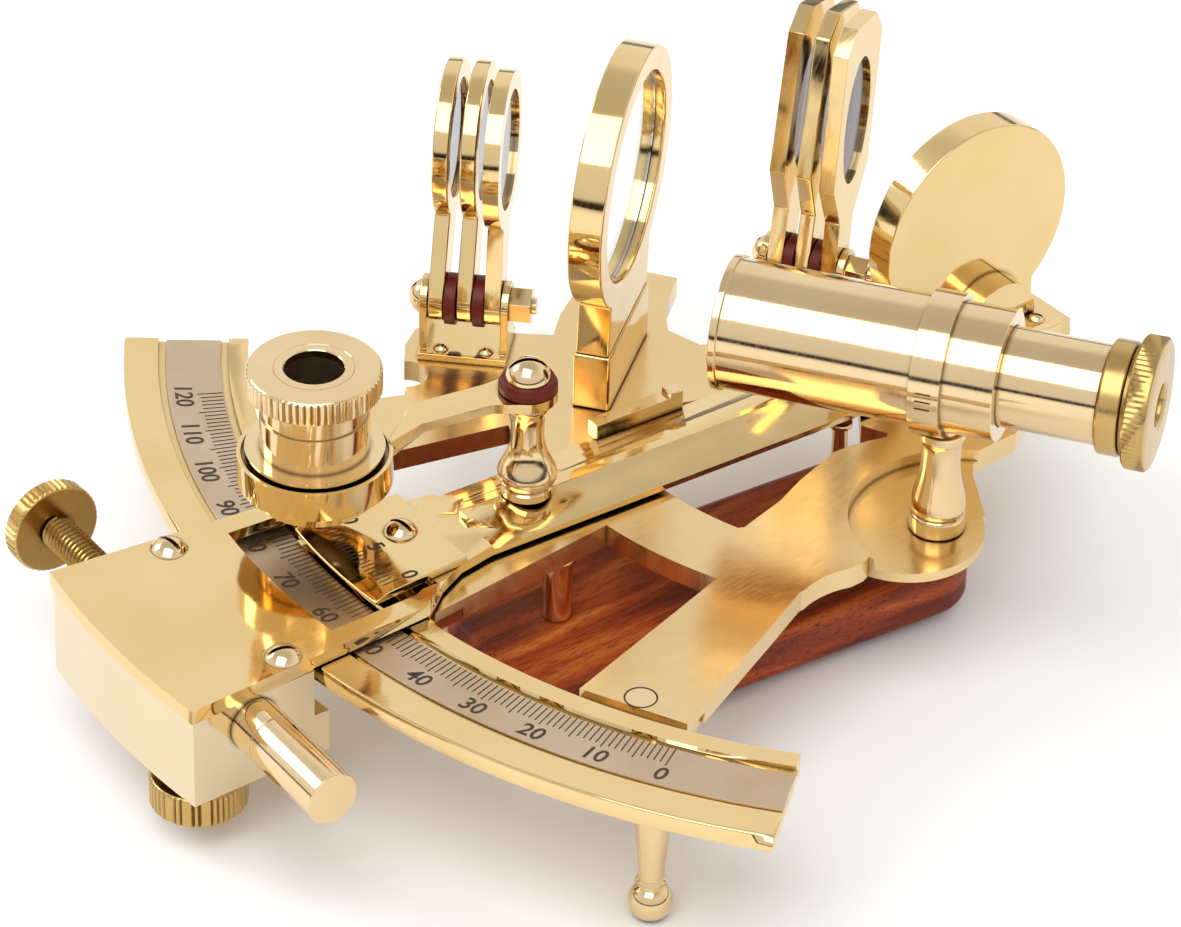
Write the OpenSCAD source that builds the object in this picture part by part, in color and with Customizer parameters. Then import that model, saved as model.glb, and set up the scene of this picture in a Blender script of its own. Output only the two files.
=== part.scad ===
// Brass sextant with a wooden handle, resting on its three legs.
// Origin: on the axis of the index arm's pivot, in the plane of the feet.
// +Z points up and the graduated arc lies towards -Y. A bearing about the
// pivot is counted from -Y and grows towards +X.

/* [Arc] */
// Height of the arc's upper face above the feet
arc_top = 34; // [31:0.5:38]
// Thickness of the arc casting
arc_t = 4; // [3.6:0.1:5]
// Outer radius of the arc
arc_r = 162; // [160:0.5:164]
// Width of the arc from its inner to its outer edge
arc_w = 24.7; // [24:0.1:26]
// Width of the arc's border inside the scale strip
inner_border = 5.4; // [5:0.1:6]
// Width of the silvered scale strip
strip_w = 11; // [10.5:0.1:11.5]
// Width of the groove on each side of the strip
groove_w = 1.5; // [1:0.1:2]
// Depth of the channel that holds the strip
channel_d = 0.9; // [0.6:0.1:1.4]
// Thickness of the scale strip
strip_t = 0.5; // [0.3:0.1:0.6]
// Bearing of the arc's left end
arc_left = -37.5; // [-39:0.5:-36]
// Bearing of the arc's right end
arc_right = 39; // [36:0.5:40]

/* [Frame] */
// Drop from the arc's face to the frame's face
frame_drop = 2; // [1.5:0.1:2.5]
// Thickness of the frame casting
frame_t = 4.5; // [4:0.1:5.5]
// Bearing of the frame's line of symmetry
frame_turn = 0.75; // [-1:0.25:2]
// Gap in plan between the limbs' ends and the arc
limb_gap = 4.3; // [3.5:0.1:5]
// Bearing of a side limb's inner edge at its end, from the frame's middle
limb_in_a = 19; // [18:0.5:20]
// Bearing of a side limb's outer edge at its end, from the frame's middle
limb_out_a = 28.6; // [28:0.2:30]
// Half angle of the middle rib
rib_a = 3.75; // [3:0.25:5]
// Outer radius of the cross band
band_out_r = 89.5; // [87:0.5:92]
// Inner radius of the cross band
band_in_r = 73.2; // [71:0.2:75]
// Radius of the cleared opening's upper end, about the pivot
apex_in_r = 30; // [28:0.5:32]
// Radius of the telescope's pad
pad_r = 15.4; // [14.5:0.1:16.5]
// Depth of the sunk seat on the telescope's pad
pad_drop = 2.5; // [2:0.1:3]
// Shank radius of a limb rivet
rivet_r = 1.6; // [1.2:0.1:2]
// Head radius of a limb rivet
rivet_head_r = 3; // [2.6:0.1:3.6]
// Distance of the limb rivets from the limbs' ends
rivet_in = 3.5; // [3.2:0.1:4]
// Length of the laps that join the limbs to the arc
lap_len = 7; // [6.8:0.1:8]

/* [Legs] */
// Distance of the two arc legs from the arc's outer edge
leg_in = 12; // [11:0.5:13]
// Bearing of an arc leg from the frame's middle
leg_a = 28.75; // [27:0.25:30]
// Radius of a leg's upper end
leg_top_r = 3.6; // [3.2:0.1:4]
// Radius of a leg's waist
leg_waist_r = 2.35; // [2:0.05:2.8]
// Radius of a leg's ball foot
leg_ball_r = 4.2; // [3.8:0.1:4.8]
// Radius of the flat under a ball foot
leg_flat_r = 2; // [1.5:0.1:2.5]

/* [Handle] */
// Width of the wooden handle
handle_w = 45; // [41:1:46]
// Length of the wooden handle
handle_len = 102; // [94:1:104]
// Thickness of the wooden handle
handle_t = 11; // [9:0.5:12]
// Clear height under the handle
handle_lift = 2; // [1:0.5:4]
// Rounding of the handle's long edges
handle_round = 2.5; // [1.5:0.5:4]
// Radius of the handle's plan corners
handle_corner = 11; // [8:0.5:14]
// Turn of the handle's length from the Y axis
handle_turn = -5.5; // [-7:0.5:0]
// Radius of the front handle post
post_r = 2.9; // [2.4:0.1:3.2]
// Radius of the slender rear handle post
rear_post_r = 1.6; // [1.4:0.1:2.4]

/* [Pivot] */
// Radius of the pivot shaft
shaft_r = 4; // [3.5:0.1:4.5]
// Wall of the pivot bush
bush_wall = 2.5; // [2:0.1:3]
// Depth of the pivot boss under the frame
boss_h = 9; // [8:0.5:10]

/* [Index arm] */
// Bearing of the arm at rest
arm_turn = -3.7; // [-5:0.1:-2]
// Width of the arm
arm_w = 20.4; // [19:0.2:21]
// Running gap between the frame and the arm
arm_gap = 0.8; // [0.5:0.1:1]
// Height of the arm's upright side
arm_side_h = 1.2; // [0.8:0.1:1.6]
// Height of the arm's ridge above its underside
arm_ridge_h = 3.4; // [2.8:0.1:3.8]
// Width of the flat on the arm's ridge
arm_ridge_w = 3; // [2:0.2:5]
// Length from the arm's shoulders to the scale's inner edge
end_len = 25.7; // [24:0.1:27]
// Radius of the arm's end behind the pivot
arm_back_r = 14; // [12:0.5:15]
// Gap between the arc's face and whatever passes over it
arc_gap = 0.3; // [0.2:0.05:0.5]
// Length from the window's near edge to the scale's inner edge
window_lead = 13.7; // [13:0.1:14.5]
// Length of the window past the scale's outer edge
window_past = 1.6; // [1.2:0.1:2]
// Half width of the window
window_half_w = 17.6; // [17:0.2:18]

/* [Vernier] */
// Thickness of the vernier plate
vernier_t = 1.6; // [1.2:0.1:2]
// Half width of the vernier plate at its rear edge
vernier_rear_w = 12.2; // [11:0.1:12.6]
// Half width of the vernier plate at its front edge
vernier_front_w = 14.3; // [13:0.1:15]
// Length of the vernier plate
vernier_len = 22.7; // [21.5:0.1:23.5]
// Width of the bevel along the vernier's front edge
vernier_bevel = 3.2; // [2:0.1:4]

/* [Tangent box] */
// Length of the box cover beyond the arc's outer edge
cover_past = 28.5; // [28:0.5:30]
// Half width of the cover at its outer edge
cover_out_w = 25.8; // [25:0.1:26.5]
// Half width of the cover at the window
cover_in_w = 23.5; // [23:0.1:24.5]
// Thickness of the cover beyond the arc
cover_t = 3; // [2.8:0.1:3.2]
// Depth of the box below the cover
box_h = 19.4; // [18:0.1:20]
// Wall of the box
box_wall = 3; // [2.5:0.1:4]
// Distance of the tangent screw beyond the arc's outer edge
tangent_past = 13; // [12.5:0.1:14]
// Drop from the box's top to the tangent screw
tangent_drop = 5.8; // [5.7:0.1:7]
// Radius of the tangent screw's thread
tangent_thread_r = 3; // [2.6:0.1:3.4]
// Radius of the tangent screw's knurled head
tangent_head_r = 9.3; // [8:0.1:9.8]
// Radius of the plain plunger on the right
plunger_r = 5.2; // [4.6:0.1:5.4]
// Length of the plunger outside the box
plunger_len = 26; // [20:0.5:28]
// Radius of the knurled clamp knob
clamp_r = 9.3; // [8:0.1:9.5]
// Height of the knurled clamp knob
clamp_h = 6.5; // [5:0.1:7]

/* [Telescope] */
// Height of the telescope's axis above the arc's face
scope_h = 33; // [31:0.5:36]
// Turn of the telescope's axis from the X axis
scope_turn = 34; // [30:0.5:38]
// Outer radius of the main tube
tube_r = 12.7; // [12:0.1:13]
// Wall of the telescope's tubes
tube_wall = 0.9; // [0.7:0.1:1.2]
// Reach of the main tube in front of the pillar
tube_front = 43.5; // [40:0.5:48]
// Reach of the main tube behind the pillar
tube_back = 12; // [10:0.5:13]
// Outer radius of the draw tube
draw_r = 9.7; // [9:0.1:10.2]
// Length of draw tube that shows
draw_show = 19; // [16:0.5:22]
// Radius of the knurled eyepiece ring
eye_ring_r = 12.9; // [12:0.1:13.4]
// Length of the knurled eyepiece ring
eye_ring_len = 7; // [5:0.5:9]
// Base radius of the telescope's pillar
pillar_r = 5.4; // [4.8:0.1:6]

/* [Horizon mirror] */
// Height of the horizon mirror's centre above the frame
hm_h = 46; // [44:0.5:48]
// Outer radius of the horizon mirror's ring
hm_r = 26.2; // [25:0.2:27.4]
// Radius of the horizon mirror's glass
hm_glass_r = 21.9; // [20.5:0.1:22.5]
// Thickness of the horizon mirror's ring
hm_t = 6.7; // [6:0.1:7.2]
// Width of the horizon mirror's tail
hm_tail_w = 28.8; // [26:0.2:30]
// Height of the horizon mirror's foot block
hm_foot_h = 12.4; // [11:0.1:13]
// Lean of the horizon mirror off upright
hm_lean = 2; // [0:0.5:3]
// Thickness of the horizon mirror's glass
hm_glass_t = 2; // [1.5:0.1:3]

/* [Horizon shades] */
// Height of the horizon shades' bolt above the frame
hs_bolt_h = 11; // [10:0.5:12]
// Outer radius of a horizon shade
hs_r = 15.9; // [14.5:0.1:16.5]
// Radius of a horizon shade's glass
hs_glass_r = 12; // [10.5:0.1:12.5]
// Distance from the bolt to the centre of a horizon shade
hs_reach = 32; // [30:0.5:34]
// Width of a horizon shade's tail
hs_tail_w = 9; // [8:0.2:10]

/* [Index shades] */
// Height of the index shades' bolt above the frame
is_bolt_h = 12; // [11:0.5:13]
// Half width of an index shade
is_half_w = 10.3; // [9.5:0.1:11]
// Distance from the bolt to an index shade's top edge
is_len = 53.5; // [50:0.5:56]
// Distance from the bolt to an index shade's shoulders
is_shoulder = 20; // [18:0.5:22]
// Half width of an index shade's neck
is_neck_w = 4; // [3.6:0.1:4.4]
// Half width of the oval glass in an index shade
is_glass_w = 7.1; // [6.5:0.1:7.6]
// Half length of the oval glass in an index shade
is_glass_l = 13.5; // [12.5:0.1:14]

/* [Shade stacks] */
// Thickness of a shade's frame
shade_t = 3.2; // [2.6:0.1:3.6]
// Thickness of a shade's coloured glass
shade_glass_t = 1.4; // [1:0.1:1.8]
// Thickness of a fibre washer between two shades
washer_t = 2.3; // [1.8:0.1:2.6]
// Radius of a shade's bolt
bolt_r = 1.6; // [1.3:0.1:1.8]
// Thickness of a bracket's ear
ear_t = 1.5; // [1.2:0.1:1.8]

/* [Index mirror] */
// Turn of the index mirror from the arm's length
mirror_turn = 3; // [1:0.5:5]
// Width of the index mirror's tail and flange
im_tail_w = 31; // [28:0.5:32]
// Depth of the flange behind the index mirror
im_flange_w = 9.5; // [8:0.5:10]
// Height of the index mirror's centre above the arm's ridge
im_h = 23; // [22.8:0.1:24]
// Outer radius of the index mirror's rim
im_r = 22.9; // [22:0.1:23.5]
// Thickness of the index mirror
im_t = 6.3; // [5.5:0.1:7]
// Radius of the index mirror's silvered glass
im_glass_r = 20.5; // [19:0.1:21]

/* [Magnifier] */
// Height of the magnifier's pillar
mag_pillar_h = 21.7; // [20:0.1:24]
// Distance of the magnifier's pillar behind the arm's shoulders
mag_back = 18.5; // [18:0.1:20]
// Radius of the magnifier's holder ring
mag_ring_r = 14.8; // [14:0.1:15.4]
// Radius of the magnifier's barrel
mag_barrel_r = 10.4; // [9.6:0.1:10.8]
// Radius of the magnifier's knurled eye cap
mag_cap_r = 12.85; // [12:0.05:13.4]
// Radius of the hole in the eye cap
mag_hole_r = 6.3; // [5:0.1:7]
// Radius of the magnifier's fibre washers
mag_washer_r = 5.7; // [5.2:0.1:6]

/* [Fits] */
// Radial gap of a running fit
run_fit = 0.06; // [0.03:0.01:0.1]
// Gap between a fixed piece and its seat
seat_fit = 0.04; // [0.02:0.01:0.1]
// Side gap between pieces that move past one another
side_gap = 0.1; // [0.08:0.01:0.3]

/* [Hidden] */
$fn = 96;

// Heights that follow from the sizes above
arc_z = arc_top - arc_t;
frame_z = arc_top - frame_drop;
frame_under = frame_z - frame_t;
lap_z = arc_z;
arm_z = frame_z + arm_gap;
side_z = arm_z + arm_side_h;
ridge_z = arm_z + arm_ridge_h;
over_arc_z = arc_top + arc_gap;
cover_under = over_arc_z - 0.5;
cover_z = cover_under + cover_t;
box_z = cover_under - box_h;
seat_z = over_arc_z + 0.7;
vernier_z = seat_z + vernier_t;
handle_z = handle_lift + handle_t;
boss_z = frame_under - boss_h;
scope_z = arc_top + scope_h;
bush_r = shaft_r + bush_wall;
arc_in_r = arc_r - arc_w;
strip_in_r = arc_in_r + inner_border;
strip_out_r = strip_in_r + strip_w;
limb_end_r = arc_in_r - limb_gap;
rivet_at_r = limb_end_r - rivet_in;
lap_in_r = limb_end_r - lap_len;
leg_at_r = arc_r - leg_in;
shoulder_r = strip_in_r - end_len;
mag_at_r = shoulder_r - mag_back;
cover_r = arc_r + cover_past;
tangent_r = arc_r + tangent_past;
window_in_r = strip_in_r - window_lead;
window_out_r = strip_out_r + window_past;
vernier_rear_r = strip_in_r - vernier_len;

// Places on the frame, in the frame's own turned axes
pad_at = [38.5, -41.8];
pad_sink_at = [46, -32.6];
pad_sink_r = 23;
waist_at = [62, -67];
waist_r = 18;
scallop_at = [-58.5, -88.8];
scallop_r = 4.6;

// Places on the whole sextant
pillar_at = [42.3, -36.1];
hm_at = [-34.6, -55.7];
hm_turn = 126.5;
hs_at = [-58.2, -73.7];
hs_turn = 44;
is_at = [-27.9, -11];
is_turn = 30;
handle_at = [12, -67];
post_at = [[4, -98.5], [1.6, -26]];
post_radii = [post_r, rear_post_r];

// Tilt of each shade at rest, away from the telescope
hs_tilt = [30, 28, 14];
is_tilt = [16, 15.5, 9.5];

// Colours of brass, aged brass, silvered brass, fibre, rubber, wood and glass
brass = [0.85, 0.68, 0.33];
dark_brass = [0.72, 0.54, 0.24];
silvered = [0.84, 0.8, 0.74];
fibre = [0.45, 0.1, 0.07];
wood = [0.4, 0.14, 0.06];
clear = [0.8, 0.9, 0.92, 0.4];
tint = [0.25, 0.26, 0.3, 0.6];

function polar(r, a) = [r * sin(a), -r * cos(a)];
function arc_points(r, a0, a1, n) = [for (i = [0:n]) polar(r, a0 + (a1 - a0) * i / n)];

// Ring sector between two radii and two bearings
module sector(r0, r1, a0, a1, z0, z1) {
    rotate([0, 0, a0 - 90]) rotate_extrude(angle = a1 - a0)
        translate([r0, z0]) square([r1 - r0, z1 - z0]);
}

module rod(r, z0, z1) {
    translate([0, 0, z0]) cylinder(h = z1 - z0, r = r);
}

module taper(r0, r1, z0, z1) {
    translate([0, 0, z0]) cylinder(h = z1 - z0, r1 = r0, r2 = r1);
}

// Disc with coarse knurled teeth round its rim
module knurled(r, h, teeth) {
    difference() {
        union() {
            rod(r, 0.5, h - 0.5);
            taper(r - 0.5, r, 0, 0.5);
            taper(r, r - 0.5, h - 0.5, h);
        }
        for (i = [0:teeth - 1]) rotate([0, 0, i * 360 / teeth])
            translate([r + 0.25, 0, -1]) rotate([0, 0, 45])
                translate([-0.45, -0.45, 0]) cube([0.9, 0.9, h + 2]);
    }
}

// Round-headed screw seen from above, with its slot and shank
module slotted_screw(head_r, head_h, shank, depth, slot = 0.9) {
    dome_r = (head_r * head_r + head_h * head_h) / (2 * head_h);
    difference() {
        intersection() {
            rod(head_r, 0, head_h);
            translate([0, 0, head_h - dome_r]) sphere(r = dome_r);
        }
        if (slot > 0) translate([-head_r - 1, -slot / 2, head_h * 0.45])
            cube([2 * head_r + 2, slot, head_h]);
    }
    if (depth > 0) rod(shank, -depth, 0.01);
}

module on_frame() {
    rotate([0, 0, frame_turn]) children();
}

module on_arm() {
    rotate([0, 0, arm_turn]) children();
}

module on_scope() {
    translate([pillar_at.x, pillar_at.y, scope_z]) rotate([0, 0, scope_turn])
        rotate([0, 90, 0]) children();
}

// Plan of the frame

module right_side_plan() {
    difference() {
        union() {
            polygon([polar(limb_end_r, limb_in_a), polar(limb_end_r, limb_out_a), [49.6, -84.3],
                [45, -74], [45, -58], pad_at, [45.2, -27.2], [39, -23.2], [33.6, -19.9],
                [30.4, -17.1], [30.3, -5.8], [10.4, 26.7], [6.4, 30.3], [-1, 30.3], [-1, -20],
                [12, -30], [12, -40], [20, -72], polar(band_out_r, limb_in_a + 2)]);
            translate(pad_at) circle(r = pad_r);
        }
        translate(waist_at) circle(r = waist_r);
    }
}

module left_side_plan() {
    difference() {
        union() {
            polygon([polar(limb_end_r, -limb_in_a), polar(limb_end_r, -limb_out_a), [-52.7, -93.4],
                [-57, -89], [-62, -86.4], [-66.8, -82.5], [-70.3, -77.1], [-57.5, -63.1],
                [-51.7, -56.7], [-56.6, -51.1], [-61.4, -43.4], [-64.6, -31.7], [-58.6, -27.3],
                [-52.9, -23.6], [-46.6, -31.9], [-39.2, -37.2], [-31.2, -35.5], [-27, -29],
                [-30.3, -5.8], [-10.4, 26.7], [-6.4, 30.3], [1, 30.3], [1, -20],
                [-12, -30], [-12, -40], [-20, -72], polar(band_out_r, -limb_in_a - 2)]);
            translate([is_at.x, is_at.y]) circle(r = 13.5);
        }
        translate(scallop_at) circle(r = scallop_r);
    }
}

module cross_band_plan() {
    polygon(concat(arc_points(band_out_r, -limb_in_a - 3, limb_in_a + 3, 24),
        arc_points(band_in_r, limb_in_a + 3, -limb_in_a - 3, 24)));
}

module rib_plan() {
    polygon(concat(arc_points(band_in_r + 2, -rib_a, rib_a, 2), arc_points(limb_end_r, rib_a, -rib_a, 4)));
}

// Opening between the pivot plate and the cross band
module upper_opening_plan() {
    half = [[22.4, -68.6], [19.8, -57.4], [16.9, -50], [14.5, -41.5], [13.6, -38.5],
        [14, -34.7], [14.9, -30.3], [16, -27]];
    polygon(concat(arc_points(band_in_r, -17.4, 17.4, 16), half,
        arc_points(apex_in_r, 30, -30, 16), [for (i = [len(half) - 1:-1:0]) [-half[i].x, half[i].y]]));
}

module frame() {
    color(brass) on_frame() difference() {
        union() {
            translate([0, 0, frame_under]) linear_extrude(frame_t) difference() {
                union() {
                    right_side_plan();
                    left_side_plan();
                    cross_band_plan();
                    rib_plan();
                }
                upper_opening_plan();
            }
            rotate([0, 0, -frame_turn]) translate([pillar_at.x, pillar_at.y, 0])
                rod(pillar_r + 2, frame_under - 2, frame_under + 1);
        }
        // Sunk seat of the telescope's pillar
        translate([pad_sink_at.x, pad_sink_at.y, frame_z - pad_drop]) cylinder(h = 10, r = pad_sink_r);
        rotate([0, 0, -frame_turn]) translate([pillar_at.x, pillar_at.y, 0])
            rod(2 + seat_fit, frame_under - 5, frame_z);
        // Laps over the arc's lugs, with the rivet holes
        sector(lap_in_r, limb_end_r + 1, -limb_out_a - 4, limb_out_a + 4, frame_under - 1, lap_z);
        for (a = rivet_bearings) rotate([0, 0, a]) translate([0, -rivet_at_r, 0]) {
            rod(rivet_r + seat_fit, frame_under - 1, frame_z + 1);
            rod(rivet_head_r + seat_fit, frame_z - 0.8, frame_z + 1);
        }
        rod(bush_r + seat_fit, frame_under - 1, frame_z + 1);
    }
}
rivet_bearings = [-(limb_in_a + limb_out_a) / 2, 0, (limb_in_a + limb_out_a) / 2];

// Arc, strip, rivets and legs

module arc_limb() {
    edge = 0.5;
    color(brass) {
        difference() {
            rotate([0, 0, arc_left - 90]) rotate_extrude(angle = arc_right - arc_left) polygon([
                [arc_in_r, arc_z], [arc_r - edge, arc_z], [arc_r, arc_z + edge],
                [arc_r, arc_top - edge], [arc_r - edge, arc_top],
                [strip_out_r + groove_w, arc_top], [strip_out_r + groove_w, arc_top - channel_d],
                [strip_in_r - groove_w, arc_top - channel_d], [strip_in_r - groove_w, arc_top],
                [arc_in_r, arc_top]]);
        }
        on_frame() difference() {
            union() {
                for (s = [-1, 1]) {
                    sector(lap_in_r + 0.2, arc_r - 4, s > 0 ? limb_in_a : -limb_out_a,
                        s > 0 ? limb_out_a : -limb_in_a, frame_under, lap_z);
                    rotate([0, 0, s * leg_a]) translate([0, -leg_at_r, 0])
                        rod(leg_top_r + 1.5, frame_under, lap_z);
                }
                sector(lap_in_r + 0.2, leg_at_r, -rib_a, rib_a, frame_under, lap_z);
            }
            for (a = rivet_bearings) rotate([0, 0, a]) translate([0, -rivet_at_r, 0])
                rod(rivet_r + seat_fit, frame_under - 1, lap_z + 1);
        }
    }
}

module scale_strip() {
    strip_z = arc_top - channel_d;
    color(silvered) sector(strip_in_r + seat_fit, strip_out_r - seat_fit, arc_left, arc_right,
        strip_z, strip_z + strip_t);
}

module limb_rivets() {
    color(brass) on_frame() for (a = rivet_bearings) rotate([0, 0, a]) translate([0, -rivet_at_r, 0]) {
        rod(rivet_r, frame_under - 0.6, frame_z - 0.4);
        rod(rivet_head_r, frame_z - 0.8, frame_z);
        rod(rivet_head_r - 0.4, frame_under - 0.8, frame_under);
    }
}

// Ball foot with a small flat, up to the height of its waist
ball_z = sqrt(leg_ball_r * leg_ball_r - leg_flat_r * leg_flat_r);
waist_z = ball_z + leg_ball_r + 1.4;
module ball_foot() {
    intersection() {
        translate([0, 0, ball_z]) sphere(r = leg_ball_r);
        rod(leg_ball_r + 1, 0, 3 * leg_ball_r);
    }
    rod(leg_waist_r, ball_z, waist_z);
    taper(leg_waist_r + 0.7, leg_waist_r, waist_z - 1, waist_z);
}

module arc_leg(side) {
    color(brass) on_frame() rotate([0, 0, side * leg_a]) translate([0, -leg_at_r, 0]) {
        ball_foot();
        taper(leg_waist_r, leg_top_r, waist_z, frame_under - 1.5);
        rod(leg_top_r, frame_under - 1.5, frame_under);
    }
}

// Foot under the pivot, a hollow cap over the boss
cap_z = boss_z - 4.2;
module leg_apex() {
    cap_r = bush_r + 1.7;
    color(brass) difference() {
        union() {
            ball_foot();
            taper(leg_waist_r, cap_r, waist_z, cap_z);
            rod(cap_r, cap_z, frame_under - 1.5);
        }
        rod(bush_r + seat_fit, cap_z + 0.8, frame_under);
    }
}

// Handle

module handle() {
    inset_w = handle_w / 2 - handle_corner;
    inset_l = handle_len / 2 - handle_corner;
    color(wood) translate([handle_at.x, handle_at.y, 0]) rotate([0, 0, handle_turn]) difference() {
        hull() for (x = [-inset_w, inset_w], y = [-inset_l, inset_l], z = [0, 1])
            translate([x, y, handle_lift + handle_round + z * (handle_t - 2 * handle_round)])
                rotate_extrude($fn = 32) translate([handle_corner - handle_round, 0])
                    intersection() {
                        circle(r = handle_round, $fn = 16);
                        translate([0, -handle_round]) square([handle_round, 2 * handle_round]);
                    }
        for (i = [0, 1]) rotate([0, 0, -handle_turn])
            translate([post_at[i].x - handle_at.x, post_at[i].y - handle_at.y, 0])
                rod(post_radii[i] * 0.75 + seat_fit, handle_z - 6, handle_z + 1);
    }
}

module handle_posts() {
    color(brass) for (i = [0, 1]) translate([post_at[i].x, post_at[i].y, 0]) {
        rod(post_radii[i], handle_z, frame_under);
        rod(post_radii[i] * 0.75, handle_z - 5.8, handle_z + 1);
        rod(post_radii[i] + 0.8, frame_under - 1.2, frame_under);
    }
}

// Pivot

module pivot_bush() {
    color(dark_brass) difference() {
        union() {
            rod(bush_r, boss_z, frame_z);
            rod(bush_r + 2.5, frame_under - 1.5, frame_under);
        }
        rod(shaft_r + run_fit, boss_z - 1, frame_z + 1);
    }
}

module pivot_shaft() {
    color(dark_brass) difference() {
        union() {
            rod(shaft_r, boss_z - 0.2, ridge_z - 0.2);
            rod(bush_r + 2, frame_z + run_fit, arm_z);
        }
        rod(1.5 + seat_fit, boss_z - 1, boss_z + 6);
    }
}

module pivot_retainer() {
    color(dark_brass) translate([0, 0, boss_z - 0.2]) mirror([0, 0, 1]) {
        rod(bush_r - 1, 0, 1.1);
        translate([0, 0, 1.1]) slotted_screw(3.2, 1.6, 1.5, 6, 0.8);
    }
}

// Telescope

module telescope_pillar() {
    base = frame_z - pad_drop;
    ring_under = scope_z - tube_r - 1.3;
    color(brass) translate([pillar_at.x, pillar_at.y, 0]) {
        rod(2, frame_under - 1.9, base + 1);
        rod(pillar_r, base, base + 3.8);
        taper(pillar_r, pillar_r - 0.6, base + 3.8, base + 4.2);
        taper(pillar_r - 0.6, pillar_r, base + 4.2, base + 5.4);
        taper(pillar_r, 4.3, base + 5.4, base + 10.5);
        taper(4.3, 3.8, base + 10.5, base + 15);
        rod(3.8, base + 15, ring_under - 2.4);
        rod(4.6, ring_under - 2.4, ring_under - 0.6);
        rod(1.8, ring_under - 1, ring_under + 0.5);
    }
}

module telescope_clamp() {
    ring_under = scope_z - tube_r - 1.3;
    color(brass) difference() {
        union() {
            on_scope() rod(tube_r + 1.3, -4, 2);
            translate([pillar_at.x, pillar_at.y, 0]) rod(3.9, ring_under - 0.6, scope_z - tube_r + 0.5);
        }
        on_scope() rod(tube_r + seat_fit, -20, 20);
        translate([pillar_at.x, pillar_at.y, 0]) rod(1.8 + seat_fit, ring_under - 2, ring_under + 0.55);
    }
}

module telescope_tube() {
    color(brass) on_scope() difference() {
        union() {
            rod(tube_r, -tube_front, tube_back);
            rod(tube_r + 0.5, -tube_front, -tube_front + 1.5);
        }
        rod(tube_r - tube_wall, -tube_front - 1, 2);
        rod(draw_r + run_fit, 1, tube_back + 1);
    }
}

module objective_lens() {
    lens_r = tube_r - tube_wall - seat_fit;
    color(clear) on_scope() translate([0, 0, -tube_front + 6]) intersection() {
        translate([0, 0, 38]) sphere(r = 40);
        rod(lens_r, -3, 1);
    }
}

module draw_tube() {
    color(brass) on_scope() difference() {
        rod(draw_r, -14, tube_back + draw_show);
        rod(draw_r - tube_wall, -15, tube_back + draw_show + 1);
    }
}

eye_z = tube_back + draw_show;
module eyepiece() {
    spigot_r = draw_r - tube_wall - run_fit;
    color(brass) on_scope() difference() {
        union() {
            rod(spigot_r, eye_z - 6, eye_z + 1);
            rod(draw_r + 1.3, eye_z + side_gap, eye_z + 3);
            rod(draw_r + 0.6, eye_z + 2, eye_z + 4);
            translate([0, 0, eye_z + 3.5]) knurled(eye_ring_r, eye_ring_len, 64);
        }
        rod(spigot_r - 1.2, eye_z - 7, eye_z + 7);
        rod(4.5, eye_z, eye_z + 8);
        taper(4.5, 8, eye_z + 7, eye_z + 3.6 + eye_ring_len);
    }
}

module eye_lens() {
    color(clear) on_scope() rod(draw_r - tube_wall - run_fit - 1.2 - seat_fit, eye_z + 4.5, eye_z + 7);
}

// Horizon mirror

module on_horizon_mirror() {
    translate([hm_at.x, hm_at.y, frame_z]) rotate([0, 0, hm_turn]) children();
}

// The ring stands a little off upright on its foot
module on_mirror_lean() {
    translate([0, 0, hm_foot_h]) rotate([hm_lean, 0, 0]) translate([0, 0, -hm_foot_h]) children();
}

module horizon_mirror_ring() {
    lip = 0.8;
    color(brass) on_horizon_mirror() intersection() {
        on_mirror_lean() difference() {
            union() {
                translate([0, hm_t / 2, hm_h]) rotate([90, 0, 0]) cylinder(h = hm_t, r = hm_r);
                translate([-hm_tail_w / 2, -hm_t / 2, hm_foot_h - 2]) cube([hm_tail_w, hm_t, hm_h - hm_r]);
            }
            translate([0, 0, hm_h]) rotate([90, 0, 0]) {
                rod(hm_glass_r - lip, -hm_t, hm_t);
                rod(hm_glass_r, -hm_t, hm_glass_t / 2);
            }
        }
        translate([-hm_r - 5, -20, hm_foot_h]) cube([2 * hm_r + 10, 40, 2 * hm_h]);
    }
}

module horizon_mirror_foot() {
    grow = 0.4;
    color(brass) on_horizon_mirror()
        translate([-hm_tail_w / 2 - grow, -hm_t / 2 - grow, 0])
            cube([hm_tail_w + 2 * grow, hm_t + 2 * grow, hm_foot_h]);
}

module horizon_glass() {
    color(clear) on_horizon_mirror() on_mirror_lean() translate([0, 0, hm_h]) rotate([90, 0, 0])
        rod(hm_glass_r - seat_fit, -hm_glass_t / 2, hm_glass_t / 2);
}

// Shade stacks. Their bolt lies along X, and the shades stand along Z

pitch = shade_t + washer_t + 2 * side_gap;
ear_x = pitch + shade_t / 2 + side_gap;

module bolt_rod(r, x0, x1) {
    translate([x0, 0, 0]) rotate([0, 90, 0]) cylinder(h = x1 - x0, r = r);
}

module on_horizon_shades() {
    translate([hs_at.x, hs_at.y, frame_z + hs_bolt_h]) rotate([0, 0, hs_turn]) children();
}

module on_index_shades() {
    translate([is_at.x, is_at.y, frame_z + is_bolt_h]) rotate([0, 0, is_turn]) children();
}

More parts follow.
